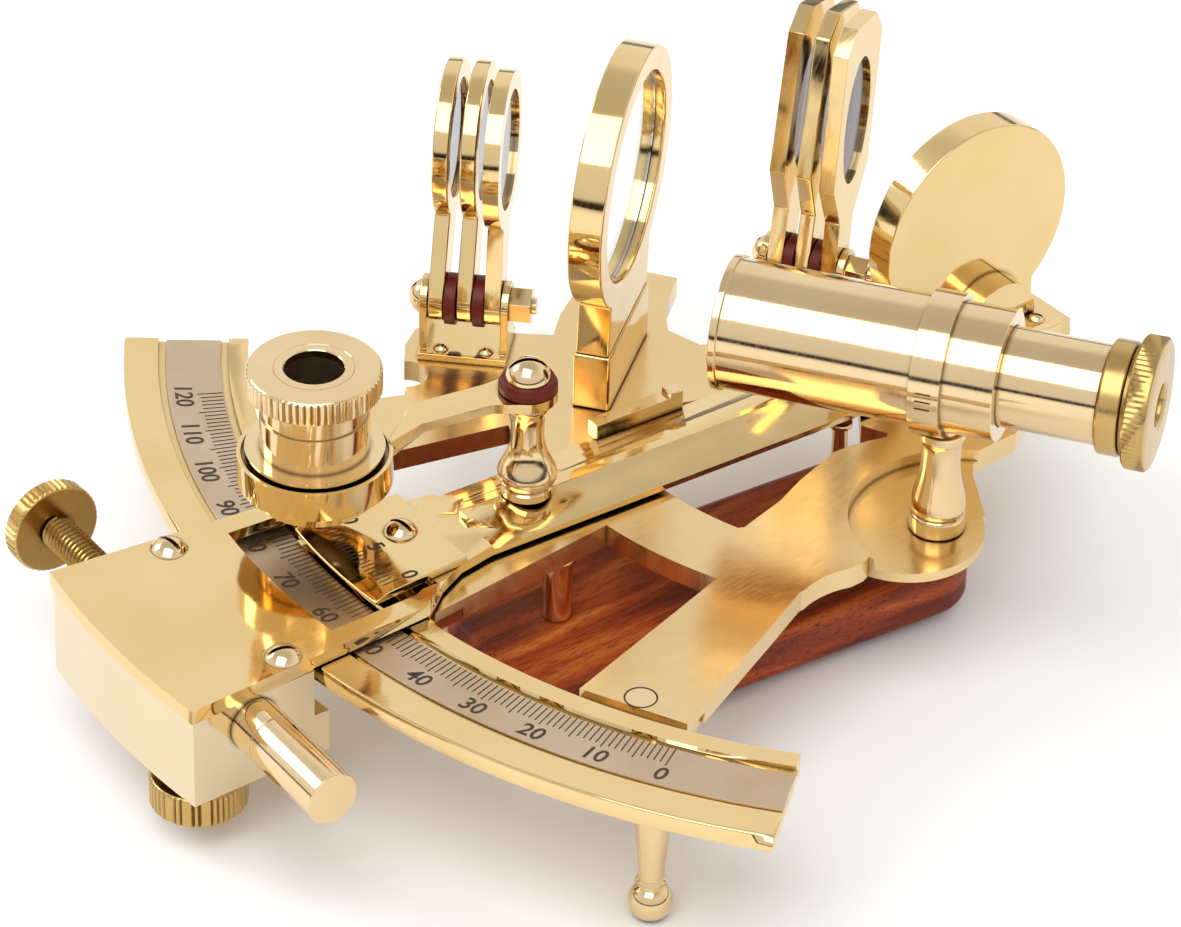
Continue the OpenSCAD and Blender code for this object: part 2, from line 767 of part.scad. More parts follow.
// Strip bent up at both ends, with an eye for the bolt in each ear
module shade_bracket(bolt_h, base_w, ear_r) {
    difference() {
        union() {
            translate([-ear_x - ear_t, -base_w / 2, -bolt_h]) cube([2 * (ear_x + ear_t), base_w, ear_t]);
            for (s = [-1, 1]) {
                translate([s > 0 ? ear_x : -ear_x - ear_t, -ear_r, -bolt_h])
                    cube([ear_t, 2 * ear_r, bolt_h]);
                bolt_rod(ear_r, s > 0 ? ear_x : -ear_x - ear_t, s > 0 ? ear_x + ear_t : -ear_x);
            }
        }
        bolt_rod(bolt_r + seat_fit, -ear_x - 5, ear_x + 5);
        for (s = [-1, 1]) translate([s * 4.5, -base_w / 2 + base_rivet_in, 0]) rod(1 + seat_fit, -bolt_h - 1, 0);
    }
}

base_rivet_in = 2.6;
hs_base_w = 13;
is_base_w = 12;
module shade_rivets(bolt_h, base_w) {
    for (s = [-1, 1]) translate([s * 4.5, -base_w / 2 + base_rivet_in, -bolt_h]) {
        rod(1, 0, ear_t + 0.2);
        translate([0, 0, ear_t]) slotted_screw(1.6, 1.1, 1, 0, 0);
    }
}

module shade_bolt(head_r, nut_r) {
    bolt_rod(bolt_r, -ear_x - ear_t - 1, ear_x + ear_t + 5.2);
    translate([-ear_x - ear_t, 0, 0]) rotate([0, -90, 0]) slotted_screw(head_r, 2.7, 1, 0);
    translate([ear_x + ear_t, 0, 0]) rotate([0, 90, 0]) cylinder(h = 4.3, r = nut_r, $fn = 6);
}

module shade_washers(r) {
    for (s = [-1, 1]) difference() {
        bolt_rod(r, s * pitch / 2 - washer_t / 2, s * pitch / 2 + washer_t / 2);
        bolt_rod(bolt_r + seat_fit, -2 * pitch, 2 * pitch);
    }
}

module shade_place(i, tilts) {
    rotate([-tilts[i], 0, 0]) translate([(i - 1) * pitch, 0, 0]) children();
}

// Round shade: eye, tail and ring in one piece
module round_shade() {
    difference() {
        union() {
            bolt_rod(hs_tail_w / 2, -shade_t / 2, shade_t / 2);
            translate([-shade_t / 2, -hs_tail_w / 2, 0]) cube([shade_t, hs_tail_w, hs_reach - hs_r + 3]);
            translate([0, 0, hs_reach]) bolt_rod(hs_r, -shade_t / 2, shade_t / 2);
        }
        translate([0, 0, hs_reach]) bolt_rod(hs_glass_r, -shade_t, shade_t);
        bolt_rod(bolt_r + run_fit, -shade_t, shade_t);
    }
}

module round_tint() {
    translate([0, 0, hs_reach]) bolt_rod(hs_glass_r - seat_fit, -shade_glass_t / 2, shade_glass_t / 2);
}

// Long shade: an eight-sided plate with a narrow neck and an oval glass
glass_at = (is_len + is_shoulder) / 2 - 4.5;
module oval(extra) {
    polygon([for (a = [0:7.5:352.5]) [(is_glass_l + extra) * cos(a), (is_glass_w + extra) * sin(a)]]);
}

module long_shade() {
    chamfer = is_half_w * 0.45;
    difference() {
        rotate([0, -90, 0]) translate([0, 0, -shade_t / 2]) linear_extrude(shade_t) difference() {
            union() {
                circle(r = is_neck_w);
                polygon([[0, -is_neck_w], [is_shoulder - 9, -is_neck_w], [is_shoulder, -is_half_w],
                    [is_len - chamfer, -is_half_w], [is_len, -is_half_w + chamfer],
                    [is_len, is_half_w - chamfer], [is_len - chamfer, is_half_w],
                    [is_shoulder, is_half_w], [is_shoulder - 9, is_neck_w], [0, is_neck_w]]);
            }
            translate([glass_at, 0]) oval(0);
            circle(r = bolt_r + run_fit);
        }
    }
}

module long_tint() {
    rotate([0, -90, 0]) translate([glass_at, 0, -shade_glass_t / 2])
        linear_extrude(shade_glass_t) oval(-seat_fit);
}

module horizon_shade_bracket() {
    color(brass) on_horizon_shades() shade_bracket(hs_bolt_h, hs_base_w, 4.6);
}

module bracket_rivets() {
    color(brass) {
        on_horizon_shades() shade_rivets(hs_bolt_h, hs_base_w);
        on_index_shades() shade_rivets(is_bolt_h, is_base_w);
    }
}

module horizon_shade_bolt() {
    color(brass) on_horizon_shades() shade_bolt(3.6, 3.9);
}

module horizon_shade_washers() {
    color(fibre) on_horizon_shades() shade_washers(5.2);
}

module horizon_shade(i) {
    color(brass) on_horizon_shades() shade_place(i, hs_tilt) round_shade();
}

module horizon_tint(i) {
    color(tint) on_horizon_shades() shade_place(i, hs_tilt) round_tint();
}

module index_shade_bracket() {
    color(brass) on_index_shades() shade_bracket(is_bolt_h, is_base_w, 4.2);
}

module index_shade_bolt() {
    color(brass) on_index_shades() shade_bolt(3.4, 3.6);
}

module index_shade_washers() {
    color(fibre) on_index_shades() shade_washers(4.8);
}

module index_shade(i) {
    color(brass) on_index_shades() shade_place(i, is_tilt) long_shade();
}

module index_tint(i) {
    color(tint) on_index_shades() shade_place(i, is_tilt) long_tint();
}

// Index arm

// Plan of the arm's lower end: shoulders, two straps, cover
module arm_end_plan() {
    strap_a = asin(cover_in_w / window_out_r);
    difference() {
        polygon(concat([[-arm_w / 2, -shoulder_r + 4], [-arm_w / 2 - 1.6, -shoulder_r - 4],
            [-arm_w / 2 - 5, -shoulder_r - 10.5], [-cover_in_w + 1.8, -shoulder_r - 18]],
            arc_points(cover_r, -asin(cover_out_w / cover_r), asin(cover_out_w / cover_r), 16),
            [[cover_in_w - 1.8, -shoulder_r - 18], [arm_w / 2 + 5, -shoulder_r - 10.5],
            [arm_w / 2 + 1.6, -shoulder_r - 4], [arm_w / 2, -shoulder_r + 4]]));
        polygon(concat(arc_points(window_in_r, -asin(window_half_w / window_in_r) * 0.82,
            asin(window_half_w / window_in_r) * 0.82, 8),
            [[window_half_w, -window_in_r - 6]],
            arc_points(window_out_r, strap_a * 0.78, -strap_a * 0.78, 8),
            [[-window_half_w, -window_in_r - 6]]));
    }
}

module arm_section() {
    polygon([[-arm_w / 2, arm_z], [arm_w / 2, arm_z], [arm_w / 2, side_z],
        [arm_ridge_w / 2, ridge_z], [-arm_ridge_w / 2, ridge_z], [-arm_w / 2, side_z]]);
}

module index_arm() {
    color(brass) on_arm() difference() {
        union() {
            // Ridged bar from behind the pivot to the shoulders
            translate([0, 8, 0]) rotate([90, 0, 0]) linear_extrude(shoulder_r - 4 + 8) arm_section();
            rod(arm_back_r, arm_z, side_z + 0.6);
            on_mirror_turn() translate([-pad_front, 8 - im_tail_w / 2, arm_z])
                cube([pad_front + 1.2 + im_flange_w, im_tail_w, ridge_z - arm_z]);
            // Seat under the vernier, straps and cover
            translate([0, 0, over_arc_z]) linear_extrude(seat_z - over_arc_z) arm_end_plan();
            translate([0, 0, seat_z - 0.01]) linear_extrude(cover_z - seat_z) intersection() {
                arm_end_plan();
                difference() {
                    translate([-60, -cover_r - 5]) square([120, cover_r - vernier_rear_r]);
                    polygon([
                        [-window_half_w + 1, -vernier_rear_r + 8],
                        [window_half_w - 1, -vernier_rear_r + 8],
                        [window_half_w - 1, -window_in_r - 14], [-window_half_w + 1, -window_in_r - 14]]);
                }
            }
            translate([0, 0, cover_under]) linear_extrude(cover_z - cover_under) intersection() {
                arm_end_plan();
                polygon(concat(arc_points(cover_r + 2, -12, 12, 8), arc_points(arc_r + 1.2, 12, -12, 24)));
            }
            // Underside of the shoulders, thickened up to the arc's inner edge
            translate([0, 0, arm_z]) linear_extrude(seat_z - arm_z) intersection() {
                arm_end_plan();
                polygon(concat([[-30, -shoulder_r + 6], [30, -shoulder_r + 6]],
                    arc_points(arc_in_r - 1, 12, -12, 24)));
            }
        }
        // Hollow shoulders where the ridge dies into the flat seat
        for (s = [-1, 1]) translate([s * 9.5, -shoulder_r - 1, seat_z]) cylinder(h = 10, r = 9.5);
        translate([-20, -shoulder_r - 6, seat_z]) cube([40, 4, 10]);
        rod(shaft_r + seat_fit, arm_z - 1, ridge_z + 1);
        translate([0, -mag_at_r, 0]) rod(2 + seat_fit, arm_z - 1, ridge_z + 1);
        translate([vernier_screw_at.x, vernier_screw_at.y, 0]) rod(1.2 + seat_fit, arm_z - 1, seat_z + 1);
        for (s = [-1, 1]) translate([s * box_screw_x, -box_screw_r, 0])
            rod(1.6 + seat_fit, cover_under - 1, cover_z + 1);
    }
}
vernier_screw_at = [-1.6, -vernier_rear_r - 6.3];
box_screw_x = 20.3;
box_screw_r = arc_r + 4;
pad_front = im_t - 1.2;

module arm_side_bar() {
    color(brass) on_arm() difference() {
        translate([-arm_w / 2 - 2.1, -76, side_z]) {
            cube([3.2, 20.5, 3.6]);
            translate([0, 17.5, 0]) cube([3.2, 3, 4.6]);
        }
        // Underside fitted to the slope of the arm
        translate([0, -50, 0]) rotate([90, 0, 0]) linear_extrude(30) arm_section();
    }
}

module vernier_plate() {
    rear_a = asin(vernier_rear_w / vernier_rear_r);
    front_r = strip_in_r;
    front_a = asin(vernier_front_w / front_r);
    color(brass) on_arm() difference() {
        translate([0, 0, seat_z]) linear_extrude(vernier_t) polygon(concat(
            [[-vernier_rear_w, -vernier_rear_r], [vernier_rear_w, -vernier_rear_r]],
            arc_points(front_r, front_a, -front_a, 16)));
        // Bevel that brings the vernier's lines down to the scale
        rotate([0, 0, -90 - 12]) rotate_extrude(angle = 24) polygon([
            [front_r - vernier_bevel, vernier_z], [front_r + 1, vernier_z - vernier_t * 0.8],
            [front_r + 1, vernier_z + 1], [front_r - vernier_bevel, vernier_z + 1]]);
        translate([vernier_screw_at.x, vernier_screw_at.y, 0])
            rod(1.2 + seat_fit, seat_z - 1, vernier_z + 1);
    }
}

module vernier_screw() {
    color(brass) on_arm() translate([vernier_screw_at.x, vernier_screw_at.y, vernier_z])
        rotate([0, 0, 20]) slotted_screw(3.5, 2.2, 1.2, vernier_t + 1.2);
}

// Index mirror. Its plane holds the pivot's axis, with the glass towards -X

module on_mirror_turn() {
    rotate([0, 0, mirror_turn]) children();
}

module on_index_mirror() {
    on_arm() on_mirror_turn() translate([1.2 - im_t / 2, 8, ridge_z + im_h]) children();
}

module index_mirror_rim() {
    color(brass) on_index_mirror() difference() {
        union() {
            bolt_rod(im_r, -im_t + im_t / 2, im_t / 2);
            translate([-im_t / 2, -im_tail_w / 2, -im_h]) cube([im_t, im_tail_w, 7]);
        }
        translate([-im_t, 0, 0]) bolt_rod(im_glass_r + seat_fit, -1, im_t / 2 + 2.2);
    }
}

module index_glass() {
    color(silvered) on_index_mirror() bolt_rod(im_glass_r, -im_t / 2 + 0.2, -im_t / 2 + 2.2 - 0.01);
}

im_screw_in = 2.1;
// Foot of the index mirror: a half-round boss on a flange held by two screws
module index_mirror_foot() {
    color(brass) on_index_mirror() difference() {
        union() {
            translate([im_t / 2, -im_tail_w / 2, -im_h]) cube([im_flange_w, im_tail_w, 1.8]);
            translate([im_t / 2, 3, -im_h + 3]) intersection() {
                bolt_rod(8.5, 0, 5.5);
                translate([0, -10, -3]) cube([6, 20, 20]);
            }
        }
        for (y = [-10.5, 10.5]) translate([im_t / 2 + im_flange_w - im_screw_in, y, 0])
            rod(1.1 + seat_fit, -im_h - 1, -im_h + 3);
    }
}

module index_mirror_screws() {
    color(brass) on_index_mirror() for (y = [-10.5, 10.5])
        translate([im_t / 2 + im_flange_w - im_screw_in, y, -im_h]) {
        rod(1.1, 0, 2);
        translate([0, 0, 1.8]) rotate([0, 0, 35]) slotted_screw(1.8, 1.2, 1, 0, 0.6);
    }
}

// Magnifier

mag_arm_len = 42;
mag_swing = -16;
ring_z = arc_top + 19.2;
rim_h = 0.9;

module on_magnifier() {
    on_arm() translate([0, -mag_at_r, 0]) rotate([0, 0, mag_swing]) children();
}

module magnifier_pillar() {
    top = ridge_z + mag_pillar_h;
    color(brass) on_arm() translate([0, -mag_at_r, 0]) difference() {
        union() {
            rod(2, arm_z + 0.2, ridge_z + 1);
            rod(5, ridge_z, ridge_z + 3);
            taper(5, 5.9, ridge_z + 3, ridge_z + 5);
            taper(5.9, 3.4, ridge_z + 5, ridge_z + 10);
            rod(3.25, ridge_z + 10, top - 3);
            taper(3.25, 4.6, top - 3, top - 1);
            rod(4.6, top - 1, top);
        }
        rod(1.4 + seat_fit, top - 8, top + 1);
    }
}

// Flat of the holder's strip where it widens to its eye
module holder_flat(top, bar_t, end_w, neck_w) {
    translate([0, 0, top]) linear_extrude(bar_t) polygon([[-end_w / 2 + 0.3, -1.6], [end_w / 2 - 0.3, -1.6],
        [neck_w / 2, -8.2], [neck_w / 2, -8.5], [-neck_w / 2, -8.5], [-neck_w / 2, -8.2]]);
}

module magnifier_holder() {
    top = ridge_z + mag_pillar_h + side_gap;
    bar_t = 2;
    end_w = 11.5;
    neck_w = 7;
    bend_y = -22;
    ring_y = -mag_arm_len;
    color(brass) on_magnifier() difference() {
        union() {
            rod(end_w / 2, top, top + bar_t);
            holder_flat(top, bar_t, end_w, neck_w);
            hull() {
                translate([-neck_w / 2, -8.5, top]) cube([neck_w, 0.5, bar_t]);
                translate([-neck_w / 2, bend_y, top - 1.5]) cube([neck_w, 0.5, bar_t]);
            }
            hull() {
                translate([-neck_w / 2, bend_y, top - 1.5]) cube([neck_w, 0.5, bar_t]);
                translate([0, ring_y + mag_ring_r - 0.8, ring_z - 2.6]) rotate([0, 45, 0])
                    translate([-bar_t / 2, -0.5, -neck_w / 2]) cube([bar_t, 1, neck_w]);
            }
            translate([0, ring_y, 0]) {
                rod(mag_ring_r, ring_z - 5.1, ring_z + rim_h);
                rod(mag_ring_r - 3.6, ring_z - 9, ring_z - 5);
            }
        }
        rod(2.6 + run_fit, top - 1, top + bar_t + 1);
        translate([0, ring_y, 0]) {
            rod(mag_barrel_r - 0.8 + run_fit, ring_z - 10, ring_z + 1);
            rod(mag_ring_r - 0.8, ring_z, ring_z + 2);
        }
    }
}

module magnifier_washers() {
    top = ridge_z + mag_pillar_h + side_gap + 2;
    color(fibre) on_arm() translate([0, -mag_at_r, 0]) difference() {
        union() {
            rod(2.6, top - 2 - side_gap, top + 0.5);
            rod(mag_washer_r, top + side_gap, top + 1.6);
            rod(mag_washer_r - 0.5, top + 1.6, top + 2.6);
        }
        rod(1.4 + seat_fit, top - 4, top + 4);
    }
}

module magnifier_screw() {
    top = ridge_z + mag_pillar_h + side_gap + 4.6;
    color(brass) on_arm() translate([0, -mag_at_r, top]) rotate([0, 0, 60])
        slotted_screw(4.4, 4, 1.4, 11, 1);
}

module magnifier_barrel() {
    body_z = ring_z + 2.2;
    cap_under = body_z + 12.6;
    color(brass) on_magnifier() translate([0, -mag_arm_len, 0]) difference() {
        union() {
            rod(mag_barrel_r - 0.8, ring_z - 7, body_z);
            rod(mag_ring_r - 1.5, ring_z + 0.2, body_z);
            rod(mag_barrel_r, body_z, cap_under - 5);
            rod(mag_barrel_r - 0.4, cap_under - 5, cap_under);
            translate([0, 0, cap_under]) knurled(mag_cap_r, 5, 60);
        }
        rod(mag_barrel_r - 2.4, ring_z - 8, cap_under - 1);
        rod(mag_hole_r, cap_under - 2, cap_under + 4);
        taper(mag_hole_r, mag_hole_r + 1.4, cap_under + 3.6, cap_under + 5.01);
    }
}

module magnifier_lens() {
    color(clear) on_magnifier() translate([0, -mag_arm_len, 0])
        rod(mag_barrel_r - 2.4 - seat_fit, ring_z + 2, ring_z + 5);
}

// Tangent box

module box_plan(r0, r1, w0, w1) {
    polygon(concat(
        arc_points(r1, -asin(w1 / r1), asin(w1 / r1), 16),
        arc_points(r0, asin(w0 / r0), -asin(w0 / r0), 8)
    ));
}

module tangent_box() {
    inset = 0.4;
    out_r = cover_r - inset;
    out_w = cover_out_w - inset;
    in_r = arc_r + 1.2;
    in_w = cover_in_w + 0.4;
    jaw_r = arc_r - 2;
    jaw_z = arc_z - 6.5;
    axis_z = cover_under - tangent_drop;
    color(brass) on_arm() difference() {
        union() {
            translate([0, 0, box_z]) linear_extrude(cover_under - box_z) box_plan(in_r, out_r, in_w, out_w);
            translate([0, 0, box_z]) linear_extrude(jaw_z - box_z) box_plan(jaw_r, in_r + 1, in_w, in_w);
        }
        // Chamber of the tangent screw and its spring plunger
        translate([-15, -tangent_r - 6, box_z + box_wall + 3])
            cube([30, 12, cover_under - box_z - box_wall - 6]);
        translate([0, -tangent_r, axis_z]) {
            translate([-30, 0, 0]) bolt_rod(tangent_thread_r + run_fit, 0, 30);
            bolt_rod(plunger_r + seat_fit, 0, 40);
        }
        translate([clamp_at.x, clamp_at.y, 0]) rod(2.5 + run_fit, box_z - 1, box_z + 9);
        for (s = [-1, 1]) translate([s * box_screw_x, -box_screw_r, 0])
            rod(1.6 + seat_fit, cover_under - 6, cover_under + 1);
    }
}
clamp_at = [14.6, -tangent_r - 6.2];

module box_screws() {
    color(brass) on_arm() for (s = [-1, 1]) translate([s * box_screw_x, -box_screw_r, cover_z])
        rotate([0, 0, s > 0 ? 75 : 15]) slotted_screw(3.7, 2, 1.6, cover_t + 5);
}

module tangent_screw() {
    head_x = -47.6;
    color(dark_brass) on_arm() translate([0, -tangent_r, cover_under - tangent_drop]) {
        bolt_rod(tangent_thread_r, head_x, -8);
        translate([head_x, 0, 0]) rotate([0, -90, 0]) knurled(tangent_head_r, 4, 48);
    }
}

module tangent_plunger() {
    axis_z = cover_under - tangent_drop;
    color(brass) on_arm() translate([0, -tangent_r, axis_z]) {
        bolt_rod(plunger_r, 6, cover_out_w + 5.5);
        bolt_rod(plunger_r - 0.25, cover_out_w + 5, cover_out_w + 6);
        bolt_rod(plunger_r, cover_out_w + 5.9, cover_out_w + plunger_len);
    }
}

module clamp_screw() {
    color(dark_brass) on_arm() translate([clamp_at.x, clamp_at.y, 0]) {
        translate([0, 0, box_z - 1.5 - clamp_h]) knurled(clamp_r, clamp_h, 48);
        rod(clamp_r - 3.5, box_z - 2, box_z - side_gap);
        rod(2.5, box_z - 3, box_z + 8);
    }
}

frame();
arc_limb();
scale_strip();
limb_rivets();
arc_leg(1);  // leg_right
arc_leg(-1);  // leg_left
leg_apex();
handle();
handle_posts();
pivot_bush();
pivot_shaft();
pivot_retainer();
telescope_pillar();
telescope_clamp();
telescope_tube();
objective_lens();
draw_tube();
eyepiece();
eye_lens();
horizon_mirror_ring();
horizon_mirror_foot();
horizon_glass();
bracket_rivets();
horizon_shade_bracket();
horizon_shade_bolt();
horizon_shade_washers();
horizon_shade(0);  // horizon_shade_1
horizon_shade(1);  // horizon_shade_2
horizon_shade(2);  // horizon_shade_3
horizon_tint(0);  // horizon_tint_1
horizon_tint(1);  // horizon_tint_2
horizon_tint(2);  // horizon_tint_3
index_shade_bracket();
index_shade_bolt();
index_shade_washers();
index_shade(0);  // index_shade_1
index_shade(1);  // index_shade_2
index_shade(2);  // index_shade_3
index_tint(0);  // index_tint_1
index_tint(1);  // index_tint_2
index_tint(2);  // index_tint_3
index_arm();
arm_side_bar();
index_mirror_rim();
index_mirror_foot();
index_mirror_screws();
index_glass();
vernier_plate();
vernier_screw();
magnifier_pillar();
magnifier_washers();
magnifier_screw();
magnifier_holder();
magnifier_barrel();
magnifier_lens();
tangent_box();
box_screws();
tangent_screw();
tangent_plunger();
clamp_screw();
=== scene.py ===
"""A brass sextant on its three ball feet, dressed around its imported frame."""

import math

import bmesh
import bpy
from mathutils import Matrix, Vector


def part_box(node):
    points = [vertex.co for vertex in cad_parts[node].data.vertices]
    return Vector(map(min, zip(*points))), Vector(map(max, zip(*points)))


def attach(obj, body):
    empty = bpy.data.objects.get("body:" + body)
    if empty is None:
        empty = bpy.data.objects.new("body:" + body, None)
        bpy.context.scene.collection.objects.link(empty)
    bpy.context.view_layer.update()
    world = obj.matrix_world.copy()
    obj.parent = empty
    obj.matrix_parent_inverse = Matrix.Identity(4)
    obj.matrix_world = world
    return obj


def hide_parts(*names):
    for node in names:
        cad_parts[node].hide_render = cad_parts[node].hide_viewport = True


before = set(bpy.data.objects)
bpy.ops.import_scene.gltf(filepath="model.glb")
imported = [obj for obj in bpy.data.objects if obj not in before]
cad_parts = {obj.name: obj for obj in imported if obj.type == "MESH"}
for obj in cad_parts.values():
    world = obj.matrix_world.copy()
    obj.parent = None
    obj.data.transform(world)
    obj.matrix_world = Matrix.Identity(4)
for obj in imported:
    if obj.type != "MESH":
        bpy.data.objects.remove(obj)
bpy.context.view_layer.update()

# Studio
# A white table that rolls away to a white wall, lit by one broad soft lamp
# above the camera and a smaller one at the left. What the polished brass
# mirrors is the rest of the room, down to a dark line near the floor.


def linear(code):
    """Linear colour of an sRGB hex value."""
    parts = [int(code[i:i + 2], 16) / 255 for i in (0, 2, 4)]
    light = [c / 12.92 if c <= 0.04045 else ((c + 0.055) / 1.055) ** 2.4 for c in parts]
    return (*light, 1)


def add(tree, kind, settings=(), links=()):
    """Adds a node to a tree, with its settings and the sockets that feed it."""
    node = tree.nodes.new(kind)
    for key, value in dict(settings).items():
        if isinstance(key, int) or key in node.inputs:
            node.inputs[key].default_value = value
        else:
            setattr(node, key, value)
    for key, source in dict(links).items():
        tree.links.new(source, node.inputs[key])
    return node


def new_material(name):
    """An empty node material."""
    made = bpy.data.materials.new(name)
    made.use_nodes = True
    made.node_tree.nodes.clear()
    return made


# The photograph's viewpoint, from a solve on the arc's engraved lines
view_turn, view_rise, view_roll = math.radians(51.37), math.radians(34.90), math.radians(1.24)
camera_place = Vector((0.7246, -0.6669, 0.6889))
back = Vector((math.sin(view_turn) * math.cos(view_rise),
               -math.cos(view_turn) * math.cos(view_rise), math.sin(view_rise)))
right = Vector((math.cos(view_turn), math.sin(view_turn), 0))
up = back.cross(right)
rolled_right = right * math.cos(view_roll) + up * math.sin(view_roll)
rolled_up = up * math.cos(view_roll) - right * math.sin(view_roll)
lens = bpy.data.cameras.new("photograph")
lens.sensor_width = 36
lens.lens = 180.18
lens.clip_start, lens.clip_end = 0.05, 60
camera = bpy.data.objects.new("photograph", lens)
camera.matrix_world = Matrix((
    (rolled_right.x, rolled_up.x, back.x, camera_place.x),
    (rolled_right.y, rolled_up.y, back.y, camera_place.y),
    (rolled_right.z, rolled_up.z, back.z, camera_place.z),
    (0, 0, 0, 1)))
bpy.context.scene.collection.objects.link(camera)
bpy.context.scene.camera = camera
bpy.context.scene.view_settings.view_transform = "Standard"

table_radius = 8
table_mesh = bmesh.new()
bmesh.ops.create_circle(table_mesh, cap_ends=True, segments=96, radius=table_radius)
table_data = bpy.data.meshes.new("table")
table_mesh.to_mesh(table_data)
table_mesh.free()
table = bpy.data.objects.new("table", table_data)
bpy.context.scene.collection.objects.link(table)
# Matt white paper, with clouds a third of a metre across that barely show
paper = new_material("white_studio_paper")
nodes = paper.node_tree
coords = add(nodes, "ShaderNodeTexCoord")
fleck = add(nodes, "ShaderNodeTexNoise", {"Scale": 3.0, "Detail": 2.0},
            {"Vector": coords.outputs["Object"]})
tone = add(nodes, "ShaderNodeMix",
           {"data_type": "RGBA", 6: linear("FAFAFA"), 7: linear("FDFDFD")},
           {0: fleck.outputs["Fac"]})
sheet = add(nodes, "ShaderNodeBsdfPrincipled", {"Roughness": 0.6, "Specular IOR Level": 0.2},
            {"Base Color": tone.outputs[2]})
add(nodes, "ShaderNodeOutputMaterial", {}, {"Surface": sheet.outputs[0]})
table_data.materials.append(paper)

# The room: plain white for the camera. The metal mirrors a pale wall behind,
# a dimmer ceiling and, low down all round, a dark line of furniture
world = bpy.data.worlds.new("studio")
bpy.context.scene.world = world
world.use_nodes = True
nodes = world.node_tree
nodes.nodes.clear()
coords = add(nodes, "ShaderNodeTexCoord")
way = add(nodes, "ShaderNodeSeparateXYZ", {}, {"Vector": coords.outputs["Generated"]})
far_wall = ((0.0, "6B6967"), (0.07, "929090"), (0.13, "FFFFFF"),
            (0.66, "FDFDFD"), (0.80, "D6D5D4"), (1.0, "CFCECD"))
camera_wall = ((0.0, "2A2725"), (0.08, "3A3634"), (0.14, "EDEDED"),
               (0.55, "F3F3F3"), (0.80, "DDDCDB"), (1.0, "CFCECD"))
walls = []
for stops in (far_wall, camera_wall):
    wall = add(nodes, "ShaderNodeValToRGB", {}, {"Fac": way.outputs["Z"]})
    ramp = wall.color_ramp
    ramp.elements[0].position, ramp.elements[0].color = stops[0][0], linear(stops[0][1])
    ramp.elements[1].position, ramp.elements[1].color = stops[-1][0], linear(stops[-1][1])
    for place, code in stops[1:-1]:
        ramp.elements.new(place).color = linear(code)
    walls.append(wall)
camera_side = (0.78, -0.62, 0.0)
toward = add(nodes, "ShaderNodeVectorMath", {"operation": "DOT_PRODUCT", 1: camera_side},
             {0: coords.outputs["Generated"]})
nearness = add(nodes, "ShaderNodeMapRange", {"From Min": -0.1, "From Max": 0.25},
               {"Value": toward.outputs["Value"]})
room = add(nodes, "ShaderNodeMix", {"data_type": "RGBA"}, {
    0: nearness.outputs["Result"], 6: walls[0].outputs["Color"], 7: walls[1].outputs["Color"]})
mirrored = add(nodes, "ShaderNodeBackground", {"Strength": 1.0}, {"Color": room.outputs[2]})
plain = add(nodes, "ShaderNodeBackground", {"Strength": 1.0, "Color": (1, 1, 1, 1)})
path = add(nodes, "ShaderNodeLightPath")
seen = add(nodes, "ShaderNodeMixShader", {}, {
    0: path.outputs["Is Camera Ray"], 1: mirrored.outputs[0], 2: plain.outputs[0]})
add(nodes, "ShaderNodeOutputWorld", {}, {"Surface": seen.outputs[0]})


def soft_lamp(name, place, aim, size, power):
    """A square soft lamp that faces a point, its power in watts."""
    data = bpy.data.lights.new(name, "AREA")
    data.shape, data.size, data.energy = "SQUARE", size, power
    lamp = bpy.data.objects.new(name, data)
    lamp.location = place
    lamp.rotation_mode = "QUATERNION"
    lamp.rotation_quaternion = (Vector(aim) - Vector(place)).to_track_quat("-Z", "Y")
    bpy.context.scene.collection.objects.link(lamp)


soft_lamp("overhead", place=(0.5, -0.75, 1.5), aim=(0, -0.05, 0), size=1.3, power=13)
soft_lamp("left", place=(-1.1, -0.7, 0.9), aim=(0, -0.05, 0.03), size=0.6, power=5)

# Frame
# One brass casting under everything: a pivot plate, a cross band and three
# limbs that carry the arc. It is filed, then rubbed to a satin and lacquered.


def clean_copy(node, weld=2e-6):
    """The CAD solid's mesh with its triangles joined into whole faces."""
    flat_within = math.radians(0.6)
    mesh = bmesh.new()
    mesh.from_mesh(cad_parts[node].data)
    bmesh.ops.remove_doubles(mesh, verts=mesh.verts, dist=weld)
    bmesh.ops.dissolve_limit(mesh, angle_limit=flat_within, verts=mesh.verts, edges=mesh.edges)
    return mesh


def finish_piece(mesh, name, material, body, nodes=(), crease=32):
    """Turns a bmesh into a smooth-shaded piece that rides on its body."""
    data = bpy.data.meshes.new(name)
    for face in mesh.faces:
        face.smooth = True
    mesh.to_mesh(data)
    mesh.free()
    data.set_sharp_from_angle(angle=math.radians(crease))
    data.materials.append(material)
    piece = bpy.data.objects.new(name, data)
    bpy.context.scene.collection.objects.link(piece)
    even = piece.modifiers.new("even_shading", "WEIGHTED_NORMAL")
    even.keep_sharp = True
    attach(piece, body)
    if nodes:
        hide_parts(*nodes)
    return piece


def eased(node, width, material, body, steps=2, least=30, crease=55, weld=2e-6, reach=1.0):
    """A CAD solid whose edges sharper than the least angle are eased by a small
    round of that width, as far from the pivot as the reach."""
    mesh = clean_copy(node, weld)
    sharp = [e for e in mesh.edges
             if len(e.link_faces) == 2 and e.calc_face_angle() > math.radians(least)
             and min(v.co.xy.length for v in e.verts) < reach]
    bmesh.ops.bevel(mesh, geom=sharp, offset=width, offset_type="OFFSET", affect="EDGES",
                    segments=steps, profile=0.5, clamp_overlap=True, loop_slide=True, material=-1)
    return finish_piece(mesh, "polished_" + node, material, body, [node], crease)


